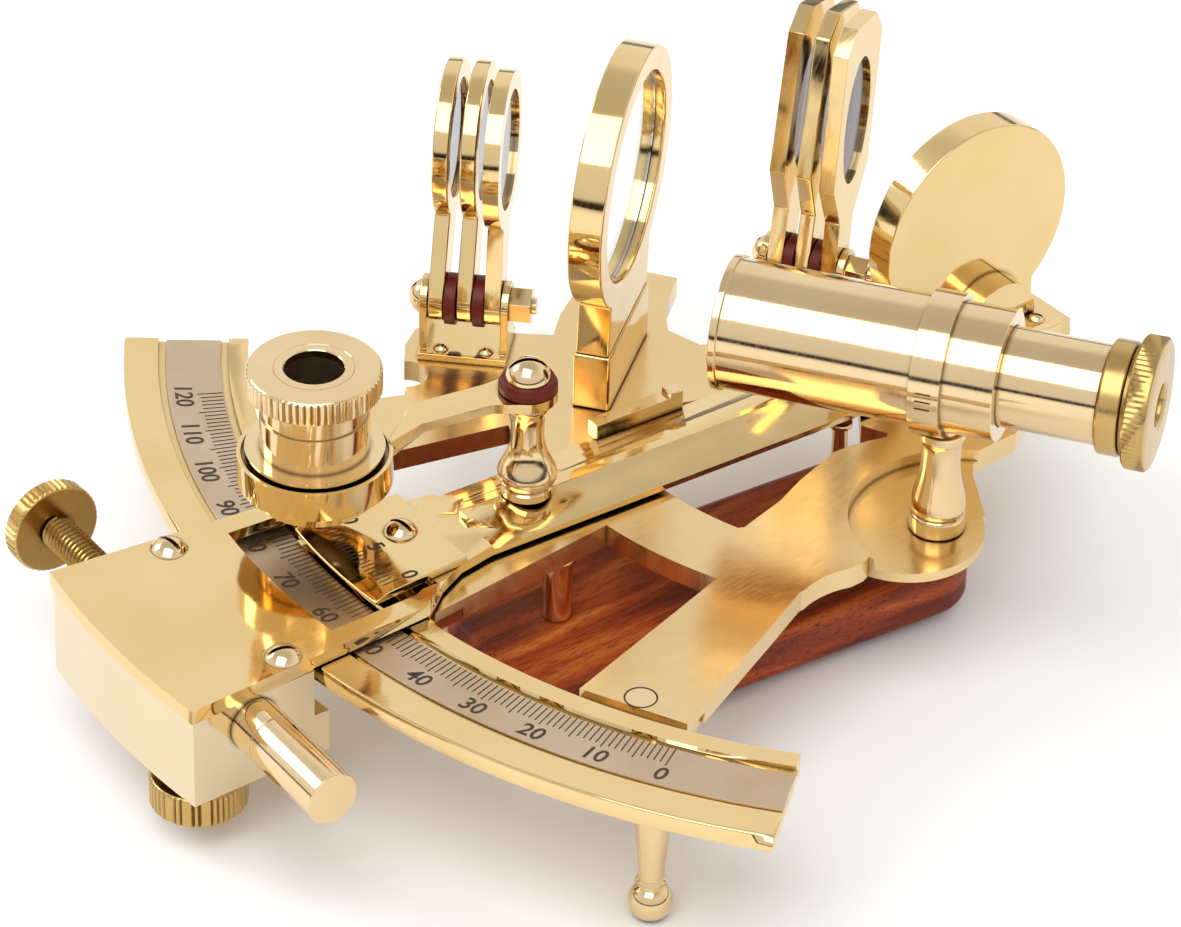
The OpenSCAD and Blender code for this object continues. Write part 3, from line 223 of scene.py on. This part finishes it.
def polished_brass(name, light, deep, gloss, ripple, shade_and_tarnish_edge=0.8):
    """Brass polished by hand. The eye sees a soft waviness, hairline scratches
    from the mop, clouds of tarnish, and painted shade with tarnish in the corners the mop does not
    reach."""
    made = new_material(name)
    tree = made.node_tree
    coords = add(tree, "ShaderNodeTexCoord")
    # Tarnish clouds 25 mm across
    cloud = add(tree, "ShaderNodeTexNoise", {"Scale": 1000 / 25, "Detail": 3.0},
                {"Vector": coords.outputs["Object"]})
    tint = add(tree, "ShaderNodeMix", {"data_type": "RGBA", 6: linear(light), 7: linear(deep)},
               {0: cloud.outputs["Fac"]})
    # Painted shade in corners narrower than about 1.5 mm, dark brown like the tarnish left there
    corner = add(tree, "ShaderNodeAmbientOcclusion", {"samples": 6, "Distance": 0.0016})
    corner_shade_and_tarnish = add(tree, "ShaderNodeMapRange", {"From Min": 0.25, "From Max": shade_and_tarnish_edge},
               {"Value": corner.outputs["AO"]})
    colour = add(tree, "ShaderNodeMix", {"data_type": "RGBA", 6: linear("4A2F12")},
                 {0: corner_shade_and_tarnish.outputs["Result"], 7: tint.outputs[2]})
    # Hairlines 0.4 mm apart, drawn out to 3.3 mm along the way the mop ran
    drawn = add(tree, "ShaderNodeMapping",
                {"Scale": (1000 / 0.4, 300, 300), "Rotation": (0.3, 0.5, 0.9)},
                {"Vector": coords.outputs["Object"]})
    hair = add(tree, "ShaderNodeTexNoise", {"Scale": 1.0, "Detail": 2.0},
               {"Vector": drawn.outputs["Vector"]})
    rough = add(tree, "ShaderNodeMapRange",
                {"From Min": 0.3, "From Max": 0.75, "To Min": gloss, "To Max": gloss + 0.09},
                {"Value": hair.outputs["Fac"]})
    # Waves 15 mm long, as deep as the ripple
    wave = add(tree, "ShaderNodeTexNoise", {"Scale": 65.0, "Detail": 1.0},
               {"Vector": coords.outputs["Object"]})
    swell = add(tree, "ShaderNodeBump", {"Strength": 1.0, "Distance": ripple},
                {"Height": wave.outputs["Fac"]})
    lines = add(tree, "ShaderNodeBump", {"Strength": 0.08, "Distance": 0.00002},
                {"Height": hair.outputs["Fac"], "Normal": swell.outputs["Normal"]})
    metal = add(tree, "ShaderNodeBsdfPrincipled", {"Metallic": 1.0}, {
        "Base Color": colour.outputs[2], "Roughness": rough.outputs["Result"],
        "Normal": lines.outputs["Normal"]})
    add(tree, "ShaderNodeOutputMaterial", {}, {"Surface": metal.outputs[0]})
    return made


brass = polished_brass("polished_cast_brass", "F2D8A3", "E1BF80", gloss=0.04, ripple=0.0003)
turned = polished_brass("turned_brass", "F1DAB1", "DDBC88", gloss=0.06, ripple=0.00006)
# A copy of the brass painted paler for the light the tangent box's faces reflect
brass_painted_paler = polished_brass("brass_painted_paler_for_light", "EDDFC3", "DCC79C", gloss=0.08, ripple=0.0002)
# Knurled brass, its painted shade and tarnish spread further out of its grooves
knurled = polished_brass("knurled_aged_brass", "D9B878", "B08E50", gloss=0.2, ripple=0.00005,
                         shade_and_tarnish_edge=0.97)
satin = polished_brass("satin_cast_brass", "F2D8A6", "DFBE84", gloss=0.17, ripple=0.0002)
# How wide an edge is rounded, from one left by the lathe to one rubbed by hand
crisp, fine, filed, rubbed, casting, soft = 0.0001, 0.0002, 0.0003, 0.0004, 0.00045, 0.0005
eased("frame", casting, satin, "sextant_frame")

# Arc
# The graduated limb, cast in brass, with a channel for the silvered strip.
# Lugs under it are riveted to the frame's three limbs. Its ends keep their
# 45 degree chamfers, so only sharper edges are eased.
eased("arc_limb", fine, brass, "sextant_frame", least=60)
eased("limb_rivets", fine, turned, "sextant_frame")

# Scale
# Silvered brass strip let into the arc, brushed along its length. It is
# divided every half degree of arc, and figured every ten units for an eye
# outside the arc.
strip_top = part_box("scale_strip")[1].z
arc_degree, last_unit = 0.5, 120
# Engraved lines filled with brown-black wax, speckled at 1.1 mm. The same dark also paints the
# groove shade round the rivets
wax_and_shade_dark = new_material("dark_wax_and_painted_shade")
nodes = wax_and_shade_dark.node_tree
coords = add(nodes, "ShaderNodeTexCoord")
grit = add(nodes, "ShaderNodeTexNoise", {"Scale": 900.0}, {"Vector": coords.outputs["Object"]})
wax = add(nodes, "ShaderNodeMix",
          {"data_type": "RGBA", 6: linear("2A1C10"), 7: linear("4B3620")},
          {0: grit.outputs["Fac"]})
black = add(nodes, "ShaderNodeBsdfPrincipled", {"Roughness": 0.55}, {"Base Color": wax.outputs[2]})
add(nodes, "ShaderNodeOutputMaterial", {}, {"Surface": black.outputs[0]})

# Old silvering gone warm beige, brushed round the pivot and stained in clouds
# 17 mm across, so that it shines softly beside the brass
silvered = new_material("brushed_silvered_brass")
nodes = silvered.node_tree
coords = add(nodes, "ShaderNodeTexCoord")
split = add(nodes, "ShaderNodeSeparateXYZ", {}, {"Vector": coords.outputs["Object"]})
flat = add(nodes, "ShaderNodeCombineXYZ", {}, {"X": split.outputs["X"], "Y": split.outputs["Y"]})
radius = add(nodes, "ShaderNodeVectorMath", {"operation": "LENGTH"}, {0: flat.outputs[0]})
ring = add(nodes, "ShaderNodeCombineXYZ", {}, {"X": radius.outputs["Value"]})
# Brush lines 0.25 mm apart
brush = add(nodes, "ShaderNodeTexNoise", {"Scale": 1000 / 0.25, "Detail": 1.0},
            {"Vector": ring.outputs[0]})
stain = add(nodes, "ShaderNodeTexNoise", {"Scale": 60.0, "Detail": 3.0},
            {"Vector": coords.outputs["Object"]})
pale = add(nodes, "ShaderNodeMix",
           {"data_type": "RGBA", 6: linear("DCC9B2"), 7: linear("C3A785")},
           {0: stain.outputs["Fac"]})
brushed = add(nodes, "ShaderNodeMapRange", {"To Min": 0.3, "To Max": 0.44},
              {"Value": brush.outputs["Fac"]})
grooves = add(nodes, "ShaderNodeBump", {"Strength": 0.12, "Distance": 0.00002},
              {"Height": brush.outputs["Fac"]})
plate = add(nodes, "ShaderNodeBsdfPrincipled", {"Metallic": 1.0}, {
    "Base Color": pale.outputs[2], "Roughness": brushed.outputs["Result"],
    "Normal": grooves.outputs["Normal"]})
add(nodes, "ShaderNodeOutputMaterial", {}, {"Surface": plate.outputs[0]})
eased("scale_strip", crisp, silvered, "sextant_frame", steps=1)


def tick(mesh, bearing, near, far, width, top, proud=0.00005):
    """Adds one engraved line, drawn away from the pivot at a bearing."""
    made = bmesh.ops.create_cube(mesh, size=1)["verts"]
    bmesh.ops.scale(mesh, verts=made, vec=(width, far - near, 2 * proud))
    bmesh.ops.translate(mesh, verts=made, vec=(0, -(near + far) / 2, top))
    bmesh.ops.rotate(mesh, verts=made, matrix=Matrix.Rotation(math.radians(bearing), 3, "Z"))


def figure(mesh, text, size, bearing, radius, top, proud=0.00005):
    """Adds an engraved figure, its foot away from the pivot at a bearing."""
    curve = bpy.data.curves.new("figure", "FONT")
    curve.body, curve.size, curve.shear = text, size, 0.12
    curve.align_x, curve.align_y = "CENTER", "CENTER"
    curve.offset, curve.extrude, curve.resolution_u = 0.012 * size, proud, 4
    shape = bpy.data.objects.new("figure", curve)
    bpy.context.scene.collection.objects.link(shape)
    bpy.context.view_layer.update()
    flat_text = bpy.data.meshes.new_from_object(shape)
    flat_text.transform(Matrix.Rotation(math.radians(bearing), 4, "Z")
                        @ Matrix.Translation((0, -radius, top)))
    mesh.from_mesh(flat_text)
    bpy.data.meshes.remove(flat_text)
    bpy.data.objects.remove(shape)
    bpy.data.curves.remove(curve)


# Distances from the pivot, and the width of a line and the height of a figure
line_start, unit_end, five_end, ten_end, figure_ring = 0.1429, 0.1473, 0.1482, 0.1480, 0.1507
line_width, figure_height = 0.00024, 0.0050
marks = bmesh.new()
for unit in range(last_unit + 1):
    line_end = ten_end if unit % 10 == 0 else five_end if unit % 5 == 0 else unit_end
    bearing = (last_unit / 2 - unit) * arc_degree
    tick(marks, bearing, line_start, line_end, line_width, strip_top)
for unit in range(0, last_unit + 1, 10):
    bearing = (last_unit / 2 - unit) * arc_degree
    figure(marks, str(unit), figure_height, bearing, figure_ring, strip_top)
finish_piece(marks, "scale_divisions", wax_and_shade_dark, "sextant_frame")


def turned_piece(name, profile, place, material, body, nodes=(), segments=48, aim=None,
                 knurl_from=None):
    """Spins a profile of (radius, height) points, in millimetres, about an
    axis, as a lathe does, and presses a knurl where the radius is larger than
    one that is given."""
    valley_share = 0.975
    mesh = bmesh.new()
    points = [mesh.verts.new((r / 1000, 0, z / 1000)) for r, z in profile]
    edges = [mesh.edges.new(pair) for pair in zip(points, points[1:])]
    bmesh.ops.spin(mesh, geom=points + edges, cent=(0, 0, 0), axis=(0, 0, 1), angle=math.tau,
                   steps=segments, use_merge=True)
    bmesh.ops.remove_doubles(mesh, verts=mesh.verts, dist=1e-6)
    bmesh.ops.recalc_face_normals(mesh, faces=mesh.faces)
    if knurl_from:
        for v in mesh.verts:
            step = round(math.atan2(v.co.y, v.co.x) * segments / math.tau)
            if v.co.xy.length > knurl_from / 1000 and step % 2:
                v.co.xy *= valley_share
    if aim:
        bmesh.ops.rotate(mesh, verts=mesh.verts, matrix=aim)
    bmesh.ops.translate(mesh, verts=mesh.verts, vec=place)
    return finish_piece(mesh, name, material, body, nodes, crease=40)


# Painted shade of the groove round each rivet's head, as a flat dark ring. The frame and its rivets
# are turned a little about the pivot, against the arc's middle
rivet_ring, frame_turn = 0.1295, 0.75
groove_shade_profile = [(2.9, 31.8), (2.9, 32.04), (3.2, 32.04), (3.2, 31.8), (2.9, 31.8)]
for name, bearing in (("right", 23.8), ("middle", 0), ("left", -23.8)):
    turn = math.radians(bearing + frame_turn)
    turned_piece("groove_shade_ring_" + name, groove_shade_profile,
                 (rivet_ring * math.sin(turn), -rivet_ring * math.cos(turn), 0),
                 wax_and_shade_dark, "sextant_frame")

# Legs
# Three turned brass legs with ball feet, screwed up into the arc and over
# the pivot boss. Each ball has a small flat worn on its underside.
for leg in ("leg_right", "leg_left", "leg_apex"):
    eased(leg, fine, turned, "sextant_frame")

# Handle
# A slab of reddish hardwood with rounded edges, oiled and rubbed. Two brass
# posts hold it under the frame.
grain_turn = (0, 0, math.radians(5.5))
# The eye sees dark growth bands 5 mm apart that run along the handle, and
# open pores 0.15 mm wide and 3 mm long under a thin coat of oil
wood = new_material("oiled_rosewood")
nodes = wood.node_tree
coords = add(nodes, "ShaderNodeTexCoord")
along = add(nodes, "ShaderNodeMapping", {"Rotation": grain_turn, "Scale": (1000 / 5, 16, 160)},
            {"Vector": coords.outputs["Object"]})
growth = add(nodes, "ShaderNodeTexNoise", {"Scale": 1.0, "Detail": 4.0, "Distortion": 0.6},
             {"Vector": along.outputs["Vector"]})
bands = add(nodes, "ShaderNodeValToRGB", {}, {"Fac": growth.outputs["Fac"]})
ramp = bands.color_ramp
ramp.elements[0].position, ramp.elements[0].color = 0.33, linear("6B1F05")
ramp.elements[1].position, ramp.elements[1].color = 0.72, linear("D07430")
ramp.elements.new(0.52).color = linear("A54312")
fibres = add(nodes, "ShaderNodeMapping", {"Rotation": grain_turn, "Scale": (6500, 330, 6500)},
             {"Vector": coords.outputs["Object"]})
pores = add(nodes, "ShaderNodeTexNoise", {"Scale": 1.0, "Detail": 1.0},
            {"Vector": fibres.outputs["Vector"]})
pits = add(nodes, "ShaderNodeMapRange", {"From Min": 0.33, "From Max": 0.45},
           {"Value": pores.outputs["Fac"]})
dark = add(nodes, "ShaderNodeMix", {"data_type": "RGBA", 6: linear("8E6A50"), 7: (1, 1, 1, 1)},
           {0: pits.outputs["Result"]})
grain = add(nodes, "ShaderNodeMix", {"data_type": "RGBA", "blend_type": "MULTIPLY", 0: 1.0},
            {6: bands.outputs["Color"], 7: dark.outputs[2]})
relief = add(nodes, "ShaderNodeBump", {"Strength": 0.25, "Distance": 0.00006},
             {"Height": pores.outputs["Fac"]})
oiled = add(nodes, "ShaderNodeBsdfPrincipled",
            {"Roughness": 0.5, "Specular IOR Level": 0.3, "Coat Weight": 0.08,
             "Coat Roughness": 0.25},
            {"Base Color": grain.outputs[2], "Normal": relief.outputs["Normal"]})
add(nodes, "ShaderNodeOutputMaterial", {}, {"Surface": oiled.outputs[0]})
finish_piece(clean_copy("handle"), "oiled_handle", wood, "sextant_frame", ["handle"],
             crease=50)
eased("handle_posts", fine, turned, "sextant_frame")

# Pivot
# A brass bush in the frame, the arm's shaft that turns in it, and the disc
# and screw that hold the shaft up from below.
eased("pivot_bush", fine, turned, "sextant_frame")
eased("pivot_shaft", fine, turned, "index_arm")
eased("pivot_retainer", crisp, turned, "index_arm")

# Telescope
# A drawn brass tube in a split clamp on a turned pillar. The draw tube
# slides in its end and carries a knurled eyepiece.
frame_pad_top = 0.0295
pillar_foot = (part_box("telescope_pillar")[0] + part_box("telescope_pillar")[1]) / 2
# From the spigot in the frame, up a base ring and a long waisted shank
scope_pillar = [
    (0, -3.9), (2, -3.9), (2, 0), (5.1, 0), (5.4, 0.3), (5.4, 3.4), (5.15, 3.8), (4.8, 4.05),
    (5.2, 4.4), (5.4, 5.0), (5.38, 5.8), (5.2, 7.2), (4.85, 8.8), (4.45, 10.4), (4.1, 12.2),
    (3.87, 14.2), (3.78, 16.4), (3.82, 18.4), (4.0, 20), (4.3, 20.8), (4.6, 21.4), (4.6, 22.9),
    (1.8, 22.9), (1.8, 24), (0, 24)]
turned_piece("turned_telescope_pillar", scope_pillar, (pillar_foot.x, pillar_foot.y, frame_pad_top),
             turned, "sextant_frame", ["telescope_pillar"])
eased("telescope_clamp", filed, turned, "sextant_frame")
eased("telescope_tube", fine, turned, "sextant_frame")
eased("draw_tube", fine, turned, "draw_tube")
scope_place = (0.0423, -0.0361, 0.067)
scope_aim = Matrix.Rotation(math.radians(34), 3, "Z") @ Matrix.Rotation(math.radians(90), 3, "Y")
# Three fitter's marks cut across the clamp ring's front
mark_size, mark_place, mark_step = (0.0002, 0.00025, 0.003), (0, -0.014, -0.001), 7
marks = bmesh.new()
for line in (-1, 0, 1):
    cut = bmesh.ops.create_cube(marks, size=1)["verts"]
    turn = Matrix.Rotation(math.radians(mark_step * line), 3, "Z")
    bmesh.ops.scale(marks, verts=cut, vec=mark_size)
    bmesh.ops.translate(marks, verts=cut, vec=mark_place)
    bmesh.ops.rotate(marks, verts=cut, matrix=turn)
bmesh.ops.rotate(marks, verts=marks.verts, matrix=scope_aim)
bmesh.ops.translate(marks, verts=marks.verts, vec=scope_place)
finish_piece(marks, "clamp_marks", wax_and_shade_dark, "sextant_frame")
# From the sleeve inside the draw tube, out to a knurled rim and the eye's hole
eye_cup = [
    (7.5, 25), (8.6, 25), (8.6, 31.2), (10.7, 31.2), (11.1, 31.6), (11.1, 35.2), (10.8, 35.6),
    (10.4, 35.8), (10.4, 36.6), (12.4, 36.7), (12.9, 37.1), (12.9, 40.6), (12.4, 41.1),
    (11, 41.4), (5, 41.5), (4.2, 41.2), (3.9, 40.4), (3.9, 38.3), (7.5, 38.1), (7.5, 25)]
turned_piece("knurled_eyepiece", eye_cup, scope_place, knurled, "draw_tube",
             ["eyepiece"], segments=144, aim=scope_aim, knurl_from=12.6)

# Colourless crown glass, with finger smears 11 mm across that dull it a little
clear = new_material("polished_crown_glass")
nodes = clear.node_tree
coords = add(nodes, "ShaderNodeTexCoord")
smear = add(nodes, "ShaderNodeTexNoise", {"Scale": 90.0, "Detail": 3.0},
            {"Vector": coords.outputs["Object"]})
haze = add(nodes, "ShaderNodeMapRange",
           {"From Min": 0.4, "From Max": 0.8, "To Min": 0.0, "To Max": 0.05},
           {"Value": smear.outputs["Fac"]})
crown = add(nodes, "ShaderNodeBsdfPrincipled",
            {"Base Color": linear("F7FAFA"), "IOR": 1.52, "Transmission Weight": 1.0},
            {"Roughness": haze.outputs["Result"]})
add(nodes, "ShaderNodeOutputMaterial", {}, {"Surface": crown.outputs[0]})
for node, body in (("objective_lens", "sextant_frame"), ("eye_lens", "draw_tube"),
                   ("horizon_glass", "sextant_frame"), ("magnifier_lens", "magnifier_barrel")):
    finish_piece(clean_copy(node), "clear_" + node, clear, body, [node])

# Horizon mirror
# A cast ring that stands on a foot block screwed to the frame. Clear glass
# sits in it against a thin lip, and is made with the telescope's lenses.
eased("horizon_mirror_ring", soft, brass, "sextant_frame")
eased("horizon_mirror_foot", soft, brass, "sextant_frame")

# Shades
# Two stacks of three swinging shades, each on a bolt between the ears of a
# bent strip, with red fibre washers between the plates.
for stack in ("horizon", "index"):
    eased(stack + "_shade_bracket", filed, brass, "sextant_frame")
    eased(stack + "_shade_bolt", fine, turned, "sextant_frame")
eased("bracket_rivets", crisp, turned, "sextant_frame")

# Dark red vulcanised fibre, pressed, with a dull mottle at 1.4 mm
fibre = new_material("vulcanised_red_fibre")
nodes = fibre.node_tree
coords = add(nodes, "ShaderNodeTexCoord")
mottle = add(nodes, "ShaderNodeTexNoise", {"Scale": 700.0, "Detail": 3.0},
             {"Vector": coords.outputs["Object"]})
red = add(nodes, "ShaderNodeMix",
          {"data_type": "RGBA", 6: linear("4A0F08"), 7: linear("741F12")},
          {0: mottle.outputs["Fac"]})
press = add(nodes, "ShaderNodeBump", {"Strength": 0.3, "Distance": 0.00003},
            {"Height": mottle.outputs["Fac"]})
board = add(nodes, "ShaderNodeBsdfPrincipled", {"Roughness": 0.4, "Specular IOR Level": 0.3},
            {"Base Color": red.outputs[2], "Normal": press.outputs["Normal"]})
add(nodes, "ShaderNodeOutputMaterial", {}, {"Surface": board.outputs[0]})
for stack in ("horizon", "index"):
    eased(stack + "_shade_washers", fine, fibre, "sextant_frame")

# Neutral smoked glass: a grey that darkens what is seen through it, a little
# uneven every 5 mm
smoked = new_material("neutral_smoked_glass")
nodes = smoked.node_tree
coords = add(nodes, "ShaderNodeTexCoord")
seed = add(nodes, "ShaderNodeTexNoise", {"Scale": 1000 / 5, "Detail": 2.0},
           {"Vector": coords.outputs["Object"]})
smoke = add(nodes, "ShaderNodeMix",
            {"data_type": "RGBA", 6: linear("5E5A63"), 7: linear("6A666E")},
            {0: seed.outputs["Fac"]})
grey = add(nodes, "ShaderNodeBsdfPrincipled",
           {"Roughness": 0.02, "IOR": 1.52, "Transmission Weight": 1.0},
           {"Base Color": smoke.outputs[2]})
add(nodes, "ShaderNodeOutputMaterial", {}, {"Surface": grey.outputs[0]})
for stack in ("horizon", "index"):
    for number in ("1", "2", "3"):
        shade, glass = stack + "_shade_" + number, stack + "_tint_" + number
        eased(shade, rubbed, brass, shade)
        finish_piece(clean_copy(glass), "smoked_" + glass, smoked, shade, [glass])

# Index arm
# A ridged brass bar that swings on the pivot. At its end two straps frame a
# window over the scale and join the cover of the tangent box. The cover's
# long outer curve, past its screws, keeps its sharp edge.
cover_curve = 0.1865
eased("index_arm", filed, brass, "index_arm", weld=2e-4, reach=cover_curve)
eased("arm_side_bar", fine, turned, "index_arm")

# Index mirror
# A round silvered glass in a cast rim that stands on the arm's pad. A half
# round boss braces it from behind, on a flange held by two screws.
eased("index_mirror_rim", soft, brass, "index_arm")
eased("index_mirror_foot", rubbed, brass, "index_arm")
eased("index_mirror_screws", crisp, turned, "index_arm")
# Glass silvered on its back: a clean reflection, with a bloom 8 mm across
mirror = new_material("silvered_glass")
nodes = mirror.node_tree
coords = add(nodes, "ShaderNodeTexCoord")
dust = add(nodes, "ShaderNodeTexNoise", {"Scale": 120.0, "Detail": 3.0},
           {"Vector": coords.outputs["Object"]})
bloom = add(nodes, "ShaderNodeMapRange", {"To Min": 0.01, "To Max": 0.06},
            {"Value": dust.outputs["Fac"]})
silver = add(nodes, "ShaderNodeBsdfPrincipled", {"Base Color": linear("F2F3F2"), "Metallic": 1.0},
             {"Roughness": bloom.outputs["Result"]})
add(nodes, "ShaderNodeOutputMaterial", {}, {"Surface": silver.outputs[0]})
finish_piece(clean_copy("index_glass"), "silvered_index_glass", mirror, "index_arm",
             ["index_glass"])

# Vernier
# A bevelled brass plate whose lines meet the scale at the window's edge.
# One slotted screw clamps it to the arm.
eased("vernier_plate", fine, brass, "index_arm")
eased("vernier_screw", fine, turned, "index_arm")
vernier_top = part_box("vernier_plate")[1].z
arm_turn = -3.7
# Twenty divisions over nineteen of the scale's, cut in the flat
vernier_step, middle_line = arc_degree * 19 / 20, 10
line_end, short_start, long_start, figure_ring = 0.1390, 0.1362, 0.1352, 0.1330
line_width, figure_height = 0.00022, 0.0046
marks = bmesh.new()
for line in range(21):
    bearing = arm_turn + (line - middle_line) * vernier_step
    line_start = short_start if line % 5 else long_start
    tick(marks, bearing, line_start, line_end, line_width, vernier_top)
for line, text in ((0, "10"), (10, "5"), (20, "0")):
    bearing = arm_turn + (line - middle_line) * vernier_step
    figure(marks, text, figure_height, bearing, figure_ring, vernier_top)
finish_piece(marks, "vernier_divisions", wax_and_shade_dark, "index_arm")

# Magnifier
# A turned pillar on the arm, a bent strip that swivels between two fibre
# washers, and a knurled eyepiece that slides in the strip's ring.
arm_top = 0.0362
pillar_foot = (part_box("magnifier_pillar")[0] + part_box("magnifier_pillar")[1]) / 2
# From the spigot in the arm, up a round base and a narrow waist to the head
magnifier_pillar = [
    (0, -3.2), (2, -3.2), (2, 0), (4.7, 0), (5, 0.3), (5, 1.7), (4.65, 2.1), (4.8, 2.5),
    (5.4, 3.1), (5.85, 4), (5.85, 4.7), (5.5, 5.9), (4.8, 7.4), (4.1, 8.9), (3.55, 10.6),
    (3.28, 12.6), (3.25, 15.6), (3.4, 17.4), (3.8, 18.8), (4.3, 19.8), (4.6, 20.5), (4.6, 21.4),
    (4.35, 21.7), (1.44, 21.7), (1.44, 13.7), (0, 13.7)]
turned_piece("turned_magnifier_pillar", magnifier_pillar, (pillar_foot.x, pillar_foot.y, arm_top),
             turned, "index_arm", ["magnifier_pillar"])
eased("magnifier_washers", fine, fibre, "index_arm")
eased("magnifier_screw", fine, turned, "index_arm")
eased("magnifier_holder", filed, brass, "magnifier_arm")
eased("magnifier_barrel", crisp, turned, "magnifier_barrel", steps=1)
eye_middle = (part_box("magnifier_barrel")[0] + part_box("magnifier_barrel")[1]) / 2
eye_place = (eye_middle.x, eye_middle.y, 0)
# A lip round the eye hole, over a tube that is blackened against stray light
eye_lip = [(6.2, 71.4), (7.6, 72.98), (5.9, 73.0), (5.7, 72.8), (5.7, 71.4), (6.2, 71.4)]
turned_piece("magnifier_eye_bush", eye_lip, eye_place, turned, "magnifier_barrel")
# Brass blackened in a bath: a dull brown black, cloudy at 2 mm
blackened = new_material("blackened_brass")
nodes = blackened.node_tree
coords = add(nodes, "ShaderNodeTexCoord")
soot = add(nodes, "ShaderNodeTexNoise", {"Scale": 1000 / 2}, {"Vector": coords.outputs["Object"]})
sooty = add(nodes, "ShaderNodeMix",
            {"data_type": "RGBA", 6: linear("2B2118"), 7: linear("4A3A28")},
            {0: soot.outputs["Fac"]})
dull = add(nodes, "ShaderNodeBsdfPrincipled", {"Roughness": 0.4}, {"Base Color": sooty.outputs[2]})
add(nodes, "ShaderNodeOutputMaterial", {}, {"Surface": dull.outputs[0]})
eye_tube = [(5.65, 60.5), (6.25, 60.5), (6.25, 71.3), (5.65, 71.3), (5.65, 60.5)]
turned_piece("magnifier_eye_tube", eye_tube, eye_place, blackened, "magnifier_barrel")

# Tangent box
# A hollow brass box under the cover plate. A knurled tangent screw enters
# on the left, a spring plunger on the right and a clamp knob below.
# The box wears the brass painted paler for the light its faces reflect
eased("tangent_box", filed, brass_painted_paler, "index_arm", weld=1e-4)
eased("box_screws", fine, turned, "index_arm")
eased("tangent_plunger", rubbed, turned, "index_arm")
eased("tangent_screw", crisp, knurled, "tangent_screw", steps=1)
eased("clamp_screw", crisp, knurled, "clamp_screw", steps=1)
# The screw's exposed thread, a three-sided ridge wound on its core
pitch, turns, turn_steps = 0.0012, 16, 24
thread_start, core_radius, ridge_radius = -0.0472, 0.00295, 0.0005
screw_place = (0, -0.175, 0.028)
thread = bmesh.new()
ridge = bmesh.ops.create_circle(thread, cap_ends=False, segments=3, radius=ridge_radius)["verts"]
bmesh.ops.rotate(thread, verts=ridge, matrix=Matrix.Rotation(math.radians(90), 3, "X"))
bmesh.ops.translate(thread, verts=ridge, vec=(thread_start, 0, core_radius))
bmesh.ops.spin(thread, geom=thread.verts[:] + thread.edges[:], cent=(0, 0, 0), axis=(1, 0, 0),
               dvec=(pitch / turn_steps, 0, 0), angle=math.tau * turns, steps=turns * turn_steps)
bmesh.ops.contextual_create(thread, geom=[e for e in thread.edges if e.is_boundary])
bmesh.ops.recalc_face_normals(thread, faces=thread.faces)
bmesh.ops.translate(thread, verts=thread.verts, vec=screw_place)
arm_swing = Matrix.Rotation(math.radians(arm_turn), 3, "Z")
bmesh.ops.rotate(thread, verts=thread.verts, matrix=arm_swing)
finish_piece(thread, "tangent_screw_thread", knurled, "tangent_screw", crease=20)
